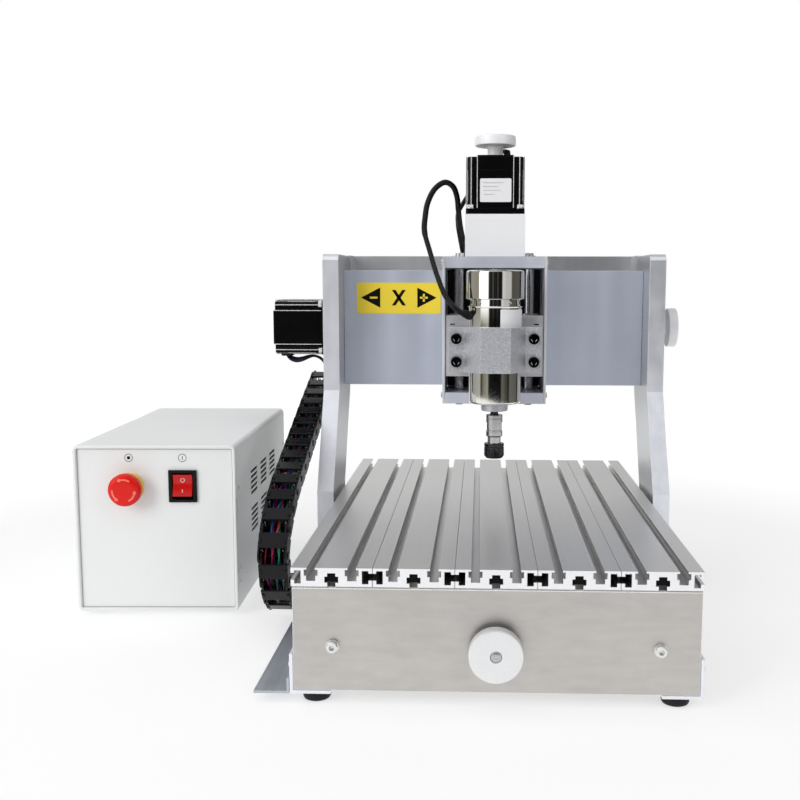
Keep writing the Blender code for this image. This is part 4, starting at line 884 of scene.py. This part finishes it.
# ---- Cables ---------------------------------------------------------------------------------
SPINDLE_ROUTE = [
    (-26.2, 212, 280.5), (-34.5, 206, 284.5), (-45.5, 212, 297.0), (-54.5, 228, 317.5),
    (-61.5, 244, 338.5), (-67.2, 256, 357.5), (-66.8, 262, 373.0), (-64.7, 268, 386.0),
    (-58.5, 274, 399.0), (-49.0, 279, 406.0), (-41.0, 284, 402.5), (-37.2, 290, 393.0),
    (-36.0, 298, 381.0), (-34.6, 309, 368.0), (-32.6, 320, 357.0), (-30.0, 328, 347.0),
    (-28.0, 334, 339.5)]
MOTOR_ROUTE = [
    (12.0, 304, 433.0), (12.0, 305, 437.6), (8.5, 309, 439.0), (2.0, 318, 438.5),
    (-6.0, 328, 432.0), (-16.0, 333, 417.0), (-25.0, 330, 401.0), (-32.0, 322, 389.0),
    (-36.5, 313, 379.0), (-36.6, 314, 367.0), (-34.8, 322, 355.0), (-33.0, 331, 345.0),
    (-32.0, 341, 339.0)]
X_LEAD_ROUTE = [
    (-214.0, 330, 236.6), (-213.4, 330, 233.2), (-209.8, 329, 230.2), (-204.0, 328, 228.6),
    (-198.0, 328, 229.6), (-191.9, 329, 232.0), (-186.5, 331, 233.2), (-181.1, 334, 231.2),
    (-177.5, 340, 226.4), (-176.8, 348, 219.4), (-178.5, 356, 212.0)]


def gland(place, direction, radius, length):
    """A moulded cable gland: a hexagon, a collar and a ribbed sleeve."""
    turn = aim(place, direction)
    sleeve = [(0, 2.0), (radius * 1.25, 2.0)]
    z = 2.0
    while z < length:
        sleeve += [(radius * 1.25, z + 0.9), (radius * 1.08, z + 1.1), (radius * 1.08, z + 1.5),
                   (radius * 1.2, z + 1.7)]
        z += 1.8
    sleeve += [(radius, z + 0.4), (0, z + 0.4)]
    return [(prism([polar(radius * 1.5, 60 * k) for k in range(6)], -0.5, 2.4), RUBBER, turn),
            (lathe(sleeve, 24), RUBBER, turn)]


def make_cables():
    """The spindle's cable, the motors' leads, and the rubber where they enter."""
    route = smooth_route(SPINDLE_ROUTE, 8)
    radii = [2.4 if i / (len(route) - 1) < 0.30 else 2.75 for i in range(len(route))]
    start, end = (tuple(ORIGIN + Vector(point))
                  for point in ((-0.045, 0.212, 0.297), (-0.062, 0.262, 0.392)))
    piece("spindle_lead", "z_slide", [(tube(route, radii, 16), CABLE)],
          replaces=["spindle_cable"], slot="black_rubber", blend=("x_carriage", start, end))
    piece("spindle_gland", "z_slide",
          gland((-23.6, 214.5, 279.2), Vector((-8.3, -6.0, 4.0)).normalized(), 2.9, 7.0))
    piece("z_motor_lead", "x_carriage", [(tube(smooth_route(MOTOR_ROUTE, 6), 2.3), CABLE)])
    piece("z_motor_gland", "x_carriage",
          [(lathe([(0, 429.5), (4.0, 429.5), (4.0, 432.6), (3.4, 434.6), (3.2, 438.4),
                   (2.2, 439.9), (0, 440.2)], 24), RUBBER, at(12.0, 304.5, 0))])
    grommets = []
    for place, radius in (((-27.5, 335.5, 334.2), 3.3), ((-32.0, 342.5, 334.2), 2.4)):
        grommets.append((lathe([(0, 0), (radius + 3.6, 0), (radius + 3.6, 1.4),
                                (radius + 2.2, 3.0), (radius + 0.6, 6.4), (0, 7.0)], 32), RUBBER,
                         at(*place)))
    piece("cable_grommets", "x_carriage", grommets)
    leads = []
    fanned = 6  # the leads come together at this point of their route
    for shift, lift, colour in ((-1.6, -0.9, "black"), (0.0, 0.4, "navy"), (1.6, 2.2, "black")):
        points = [(x, y + shift, z + lift * math.sin(math.pi * min(i, fanned) / fanned))
                  for i, (x, y, z) in enumerate(X_LEAD_ROUTE)]
        leads.append((tube(smooth_route(points, 6), 1.25, 10), WIRES[colour]))
    piece("x_motor_leads", "gantry", leads, replaces=["x_motor_lead"], slot="black_rubber")
    piece("x_motor_grommet", "gantry",
          [(box((-219.5, -207.5), (324, 336), (233.5, 237.5)), RUBBER)], bevel=1.0)


# ---- Drag chain -----------------------------------------------------------------------------
def chain_line():
    """The middle of the chain's bars, from its lower end on the tray to the gantry."""
    bend = []
    for degrees in range(255, 164, -15):
        dy, dz = polar(50.0, degrees)
        bend.append((0, 163.0 + dy, 78.0 + dz))
    low_end = [(0, 250, 18.0), (0, 222, 19.0), (0, 192, 23.0)]
    high_run = [(0, 133, 109.6), (0, 164, 127.0), (0, 197, 138.5), (0, 233, 151.5),
                (0, 298, 174.5), (0, 345, 190.5), (0, 383, 203.0)]
    return smooth_route(low_end + bend + high_run, 12)


def along_line(line, distance):
    """(point, direction) at a distance along a line, carried on straight past its ends."""
    if distance <= 0:
        way = (line[1] - line[0]).normalized()
        return line[0] + way * distance, way
    for a, b in zip(line, line[1:]):
        step = (b - a).length
        if distance <= step:
            return a + (b - a) * (distance / step), (b - a).normalized()
        distance -= step
    way = (line[-1] - line[-2]).normalized()
    return line[-1] + way * distance, way


def sort_round(outline):
    """The points of a convex outline in order round their middle."""
    middle_u = sum(u for u, _ in outline) / len(outline)
    middle_v = sum(v for _, v in outline) / len(outline)
    return sorted(outline, key=lambda point: math.atan2(point[1] - middle_v, point[0] - middle_u))


def link_parts():
    """One chain link along +u with its middle at 0: side plates, outer bar and inner lid."""
    half = LINK_PITCH / 2
    plate = []
    for start, middle in ((-90, -half), (90, half - 1.0)):
        for k in range(13):
            du, dv = polar(1, start - 15 * k)
            plate.append((middle + 7.2 * du, 7.4 * dv))
    back = [(u, v) for u, v in plate if u < LINK_PITCH * 0.2]
    back += [(LINK_PITCH * 0.2, 7.4), (LINK_PITCH * 0.2, -7.4)]
    front = [(u, v) for u, v in plate if u > -LINK_PITCH * 0.12]
    front += [(-LINK_PITCH * 0.12, -7.4), (-LINK_PITCH * 0.12, 7.4)]
    parts = []
    for side in (-1, 1):
        parts += [(prism(sort_round(back), *span(side, 12.4, 10.9)), CHAIN, Matrix()),
                  (prism(sort_round(front), *span(side, 10.8, 9.3)), CHAIN, Matrix()),
                  (rod(3.0, 0, 0.7, 20, 0.2), CHAIN, aim((-half, 0, side * 12.3), (0, 0, side))),
                  # Thin grey mark by the pin: painted highlight.
                  (prism(bar(-8.3, 3.9, 0.3, 2.7), *span(side, 8.5, 9.2)), PIN_GLINT, Matrix()),
                  (prism(bar(0, 7.45, 2.2, 1.45), *span(side, 9.6, 12.1)), CHAIN, Matrix())]
    outer = [(-6.7, 6.2), (6.7, 6.2), (6.7, 7.5), (6.0, 8.1), (-6.0, 8.1), (-6.7, 7.5)]
    lid = [(-10.4, -6.3), (10.4, -6.3), (10.4, -7.4), (9.6, -8.0), (-9.6, -8.0), (-10.4, -7.4)]
    parts += [(prism(outer, -12.3, 12.3), CHAIN, Matrix()),
              (prism(lid, -11.6, 11.6), CHAIN, Matrix())]
    return parts


def chain_frame(line, distance):
    """Places a link's (u, v, w) on the line: u along it, v out from it, w across it."""
    point, way = along_line(line, distance)
    out = Vector((0, -way.z, way.y))
    return Matrix(((0, 0, 1, CHAIN_X), (way.y, out.y, 0, point.y), (way.z, out.z, 0, point.z),
                   (0, 0, 0, 1)))


def make_chain():
    """The drag chain, the wires in it, and what holds its two ends."""
    line = chain_line()
    total = sum((b - a).length for a, b in zip(line, line[1:]))
    blend = ("gantry", (0, 0.0, 0.020), (0, 0.0, 0.192))
    links = []
    for i in range(int((total - FIRST_LINK) / LINK_PITCH) + 1):
        place = chain_frame(line, FIRST_LINK + i * LINK_PITCH)
        links += [(solid, mat, place @ own) for solid, mat, own in link_parts()]
    piece("drag_chain_links", "base", links, bevel=0.25, replaces=["drag_chain"],
          slot="black_plastic", blend=blend)
    wires = []
    kinds = ["red", "purple", "blue", "red", "green", "green", "black"]
    for index, kind in enumerate(kinds):
        points = []
        for k in range(90):
            across = (-5.6 + 11.6 * index / (len(kinds) - 1)
                      + 2.6 * math.sin(k * 0.37 + index * 2.1))
            depth = -1.0 + 2.6 * math.sin(k * 0.29 + index * 1.3)
            frame_here = chain_frame(line, 2 + (total - 2) * k / 89)
            points.append(frame_here @ Vector((0, depth, across)))
        wires.append((tube(points, 0.75, 8), WIRES[kind]))
    piece("chain_wires", "base", wires, blend=blend)
    slope = prism([(0, 0), (30, 0), (30, 2.2), (0, 2.2)], -12.3, 12.3)
    wall = [(352, 200.0), (386, 211.0), (386, 222.0), (374, 222.0), (352, 206.0)]
    gusset = [(-186.0, 203.0), (-170.4, 203.0), (-170.4, 219.0), (-172.5, 219.0)]
    piece("chain_bracket", "gantry",
          [(slope, BLACK_ANODISED, chain_frame(line, total - 20) @ at(0, -11.0, 0)),
           (prism(wall, -172.6, -170.3), BLACK_ANODISED, YZ_X),
           (prism(gusset, 376, 378.4), BLACK_ANODISED, XZ_Y)], bevel=0.4)
    heads("chain_bracket_screws", "gantry", [(-172.6, y, 212.0) for y in (368, 380)],
          (-1, 0, 0), 2.6, 1.6)
    piece("chain_foot", "base",
          [(box(x, (243, 262), z), CHAIN) for x, z in (
              ((-198, -173), (9.4, 11.6)), ((-198, -195.8), (11, 24)),
              ((-175.2, -173), (11, 24)))], bevel=0.5)


# ---- Controller -----------------------------------------------------------------------------
def case_ring(inset, y):
    """The case's outline, set in, at one depth."""
    outline = rounded(-150 + inset, -inset, 4 + inset, 161 - inset, max(0.8, 5.0 - inset), 6)
    return [(u, y, v) for u, v in outline]


def make_controller():
    """The controller's case with its vents, panels, screws, sockets and pads."""
    rings = [(0.0, 2.2), (0.25, 1.0), (0.9, 0.25), (1.8, 0.0), (2.7, 0.25), (3.3, 1.0),
             (3.5, 2.8), (0.9, 3.0), (0.9, 269.0), (3.5, 269.2), (3.3, 271.0), (1.8, 272.0),
             (0.25, 271.0), (0.0, 269.8)]
    vents = []
    for x in (-0.9, -149.1):
        for low in (101.5, 63.9):
            for column in range(3):
                for row in range(5):
                    y, z = 68.0 + column * 51.0, low + row * 5.3
                    slot_end = rounded(y, y + 34.0, z - 1.6, z + 1.6, 1.59, 3)
                    vents.append((prism(slot_end, x - 3, x + 3), YZ_X))
    case = "controller_"
    for name, mat, section, cuts in (
            (case + "shell", POWDER, rings, vents),
            # A dark sheet inside the case, seen through the vents: painted shade.
            (case + "inner_shade", PAINTED_SHADE,
             [(1.0, 30.0), (1.0, 255.0), (2.0, 255.0), (2.0, 30.0)], ()),
            # A grey ring in the gap round the front panel: painted shade.
            (case + "panel_gap_shade", GAP_SHADE, [(3.45, 2.75), (4.2, 2.75), (4.2, 3.4), (3.45, 3.4)],
             ())):
        kept = {"replaces": [case + "case"], "slot": "white_powder_coat"} if cuts else {}
        piece(name, "base", [(loft([case_ring(*ring) for ring in section]), mat)], CONTROLLER,
              cuts=cuts, **kept)
    pad = lathe([(0, 0.3), (5.6, 0.3), (6.4, 0.0), (7.0, 0.8), (7.0, 4.0), (0, 4.2)], 32)
    piece("controller_pads", "base",
          [(pad, RUBBER, at(x, y, 0)) for x in (-132, -18) for y in (22, 250)], CONTROLLER)
    dress(["controller_front_panel", "controller_rear_panel"], POWDER)
    dress(["mains_inlet"], CHAIN, 0.3)
    for word, x, way in (("right", 0.0, 1), ("left", -150.0, -1)):
        places = [(x, y, z) for y in (10.5, 261.0) for z in (30.0, 43.0, 120.0)]
        heads(f"case_screws_{word}", "base", places, (way, 0, 0), 1.9, 0.9, ZINC, CONTROLLER)
    piece("inlet_pins", "base",
          [(box((x - 1.0, x + 1.0), (254, 264), (z - 2.4, z + 2.4)), BRASS)
           for x, z in ((-107.0, 116.0), (-93.0, 116.0), (-100.0, 120.5))], CONTROLLER, bevel=0.3)
    shell = lathe([(6.2, 0.8), (8.3, 0.8), (8.3, 2.2), (7.6, 2.4), (7.6, 6.5), (6.8, 7.0),
                   (6.2, 7.0)], 40, True)
    sockets = []
    for index in range(4):
        place = aim((-26.0 - index * 32.5, 269.6, 48.0), (0, 1, 0))
        sockets += [(shell, STEEL, place), (rod(6.2, 0.8, 5.0, 32, 0.3), BLACK_STEEL, place)]
        sockets += [(rod(0.6, 4.8, 6.3, 10, 0.2), BRASS, place @ at(*polar(2.8, degrees), 0))
                    for degrees in (45, 135, 225, 315)]
    piece("motor_sockets", "base", sockets, CONTROLLER)
    heads("rear_panel_screws", "base", [(x, 270.5, z) for x in (-142, -8) for z in (12, 153)],
          (0, 1, 0), 2.2, 1.2, ZINC, CONTROLLER)


def dome_height(profile, radius):
    """Height of a turned cap's top at a radius."""
    side_top = 11
    top = [point for point in profile if point[1] > side_top]
    for (r1, z1), (r2, z2) in zip(top, top[1:]):
        if r2 <= radius <= r1 and r1 > r2:
            return z2 + (z1 - z2) * (radius - r2) / (r1 - r2)
    return top[-1][1]


def make_estop():
    """The emergency stop: yellow collar, and red cap with three pale arrows."""
    place = aim((ESTOP_X, 0, ESTOP_Z), (0, -1, 0))
    collar = [(5.2, -31.0), (9.2, -31.0), (9.2, -2.7), (12.9, -2.7), (13.5, -2.2), (13.5, 0.2),
              (12.9, 1.1), (12.2, 1.5), (5.2, 1.5)]
    piece("estop_collar", "base", [(lathe(collar, 64, True), YELLOW, place)], CONTROLLER,
          replaces=["estop_base"], slot="yellow_plastic")
    dress(["estop_plunger"], CHAIN)
    dome = [(0, 8.6), (5.1, 8.6), (5.1, 5.9), (13.4, 5.9), (14.6, 6.4), (15.0, 7.4),
            (15.0, 11.6), (14.7, 13.0), (13.9, 14.1), (12.6, 14.8), (10.6, 15.25), (8.6, 15.45),
            (6.0, 15.5), (3.0, 15.45), (0, 15.4)]
    parts = [(lathe(dome, 96), RED, place)]
    for turn in (90, 210, 330):
        strip = []
        for k in range(17):
            inner, outer = 9.5, 11.0
            if k > 12:
                inner, outer = 8.6 + 0.42 * (k - 13), 11.9 - 0.42 * (k - 13)
            strip.append([(*polar(radius, turn - 34 + 4 * k), dome_height(dome, radius) + lift)
                          for radius, lift in ((inner, 0.1), (outer, 0.1), (outer, -0.3),
                                               (inner, -0.3))])
        parts.append((loft(strip, closed=False), PINK, place))
    piece("estop_cap", "estop_head", parts, CONTROLLER, replaces=["estop_head"],
          slot="red_plastic")


def flat_ring(x, z, section, steps):
    """A thin ring that faces -Y round (x, z), from its (radius, y) section."""
    rows = []
    for k in range(steps):
        du, dv = polar(1, 360 * k / steps)
        rows.append([(x + radius * du, y, z + radius * dv) for radius, y in section])
    return loft(rows)


def make_switch():
    """The power rocker with its on and off signs."""
    dress(["power_switch_bezel"], BLACK_PAINT, 0.4)
    tilt = at(SWITCH_X, 6.0, 122.8) @ Matrix.Rotation(math.radians(-8.0), 4, "X")
    face = []
    for k in range(13):
        v = -10.0 + 20.0 * k / 12
        face.append((-4.6 - 1.9 * (abs(v) / 10) ** 1.7, v))
    off = flat_ring(0, 4.9, ((1.5, -5.55), (2.05, -5.6), (2.05, -5.0), (1.5, -5.0)), 16)
    piece("rocker_cap", "power_rocker",
          [(prism(face + [(5.0, 8.5), (5.0, -8.5)], -8.9, 8.9), ROCKER_RED, tilt @ YZ_X),
           (off, MARK, tilt), (box((-0.3, 0.3), (-5.7, -5.0), (-6.6, -3.4)), MARK, tilt)],
          CONTROLLER, bevel=0.45, replaces=["power_rocker"], slot="red_plastic")


def make_panel_marks():
    """Two small pictograms over the controls: a stop square and a power sign, each in a ring."""
    section = ((3.3, 2.95), (3.8, 2.95), (3.8, 3.05), (3.3, 3.05))
    parts = [(flat_ring(x, 149.0, section, 32), INK) for x in (ESTOP_X, SWITCH_X)]
    for x, half_wide, half_high in ((ESTOP_X, 1.4, 1.4), (SWITCH_X, 0.3, 1.8)):
        parts.append((box((x - half_wide, x + half_wide), (2.95, 3.05),
                          (149.0 - half_high, 149.0 + half_high)), INK))
    piece("panel_marks", "base", parts, CONTROLLER)


# ---- Room, lights and camera ----------------------------------------------------------------
def make_room():
    """A round pale floor that turns into plain white away from the machine."""
    bm = bmesh.new()
    bmesh.ops.create_circle(bm, cap_ends=True, radius=1.5, segments=96)
    mesh = bpy.data.meshes.new("floor")
    bm.to_mesh(mesh)
    bm.free()
    floor = bpy.data.objects.new("floor", mesh)
    bpy.context.scene.collection.objects.link(floor)
    white = material("floor_white", (0.95, 0.95, 0.95), 0.8, 0.0, 0.0, 200)
    tree = white.node_tree
    place = add_node(tree, "ShaderNodeTexCoord").outputs["Object"]
    reach = add_node(tree, "ShaderNodeVectorMath", {0: place}, operation="LENGTH")
    far = map_range(tree, reach.outputs["Value"], 0.55, 1.0, 0.52)
    glow = add_node(tree, "ShaderNodeEmission", {"Color": (1, 1, 1, 1), "Strength": 1.1})
    both = add_node(tree, "ShaderNodeMixShader", {"Fac": far, 2: glow.outputs[0]})
    tree.links.new(tree.nodes["Principled BSDF"].outputs[0], both.inputs[1])
    tree.links.new(both.outputs[0], tree.nodes["Material Output"].inputs["Surface"])
    mesh.materials.append(white)


def make_world():
    """A soft studio all round: plain white to the camera. Reflections see a dark front between
    two white panels, brown-grey side walls and a white back with a grey band at its edges,
    under a white ceiling, all brighter on the left than on the right."""
    world = bpy.data.worlds.new("studio")
    bpy.context.scene.world = world
    world.use_nodes = True
    tree = world.node_tree
    tree.nodes.clear()
    way = add_node(tree, "ShaderNodeTexCoord").outputs["Generated"]
    axes = add_node(tree, "ShaderNodeSeparateXYZ", {"Vector": way}).outputs
    front = maths(tree, "MULTIPLY", axes["Y"], -1.0)
    turn = maths(tree, "ABSOLUTE", maths(tree, "ARCTAN2", axes["X"], front))
    share = maths(tree, "DIVIDE", turn, math.pi)
    upper = ramp(tree, share, [
        (0.0, 0.03), (0.025, 0.008), (0.05, 0.10), (0.08, 0.012), (0.14, 0.03), (0.165, 1.6),
        (0.35, 1.6), (0.38, (0.26, 0.25, 0.21)), (0.70, (0.34, 0.32, 0.28)), (0.76, 1.0),
        (1.0, 1.0)])
    lower = ramp(tree, share, [
        (0.0, 0.004), (0.12, 0.01), (0.15, 0.05), (0.17, (0.34, 0.33, 0.27)),
        (0.28, (0.19, 0.18, 0.14)), (0.34, (0.03, 0.03, 0.02)), (0.38, (0.42, 0.41, 0.36)),
        (0.62, 0.30), (0.76, 0.9), (1.0, 0.9)])
    walls = mixed(tree, map_range(tree, axes["Z"], -0.045, -0.015), lower, upper)
    whole = mixed(tree, map_range(tree, axes["Z"], 0.30, 0.62), walls,
                  (CEILING, CEILING, CEILING * 1.02, 1.0))
    lean = map_range(tree, axes["X"], -0.7, 0.7, 1.35, 0.42)
    back = ramp(tree, axes["Y"], [(0.0, 1.0), (0.30, 1.0), (0.36, 0.12), (0.56, 0.12),
                                  (0.62, 1.0)])
    for shade in (lean, back):
        whole = mixed(tree, 1.0, whole, shade, "MULTIPLY")
    light = add_node(tree, "ShaderNodeBackground", {"Color": whole, "Strength": 0.8})
    plain = add_node(tree, "ShaderNodeBackground", {"Color": (1, 1, 1, 1), "Strength": 1.0})
    seen = add_node(tree, "ShaderNodeLightPath").outputs["Is Camera Ray"]
    both = add_node(tree, "ShaderNodeMixShader", {
        "Fac": seen, 1: light.outputs[0], 2: plain.outputs[0]})
    add_node(tree, "ShaderNodeOutputWorld", {"Surface": both.outputs[0]})


def softbox(name, place, target, size, power):
    """A lamp that lights surfaces but doesn't show in reflections."""
    data = bpy.data.lights.new(name, "AREA")
    data.shape = "RECTANGLE"
    data.size, data.size_y = size
    data.energy = power
    light = bpy.data.objects.new(name, data)
    bpy.context.scene.collection.objects.link(light)
    light.location = place
    light.rotation_euler = (Vector(target) - Vector(place)).to_track_quat("-Z", "Y").to_euler()
    light.visible_glossy = False


def make_camera():
    """The photograph's view; its focal length and shift are shares of the picture's width."""
    data = bpy.data.cameras.new("camera")
    data.sensor_width = 36.0
    data.lens = 983.24 / 800 * 36.0
    data.shift_x = -47.32 / 800
    data.clip_end = 100.0
    camera = bpy.data.objects.new("camera", data)
    bpy.context.scene.collection.objects.link(camera)
    camera.location = ORIGIN + Vector((-0.01282, -0.69218, 0.30843))
    camera.rotation_euler = (math.radians(83.255), math.radians(-0.114), math.radians(1.908))
    bpy.context.scene.camera = camera


make_camera()
make_room()
make_world()
softbox("ceiling", (0.0, -0.2, 1.8), (0.0, 0.1, 0.1), (1.8, 1.4), 4)
softbox("left_panel", (-1.3, -1.5, 0.9), (0.0, 0.1, 0.15), (0.9, 1.2), 12)
softbox("right_panel", (1.5, -1.3, 0.9), (0.1, 0.1, 0.2), (0.9, 1.2), 4)
bpy.context.scene.view_settings.view_transform = "Standard"

make_base()
make_y_axis()
make_gantry()
make_axis_label()
make_z_axis()
make_spindle()
make_cables()
make_chain()
make_controller()
make_estop()
make_switch()
make_panel_marks()
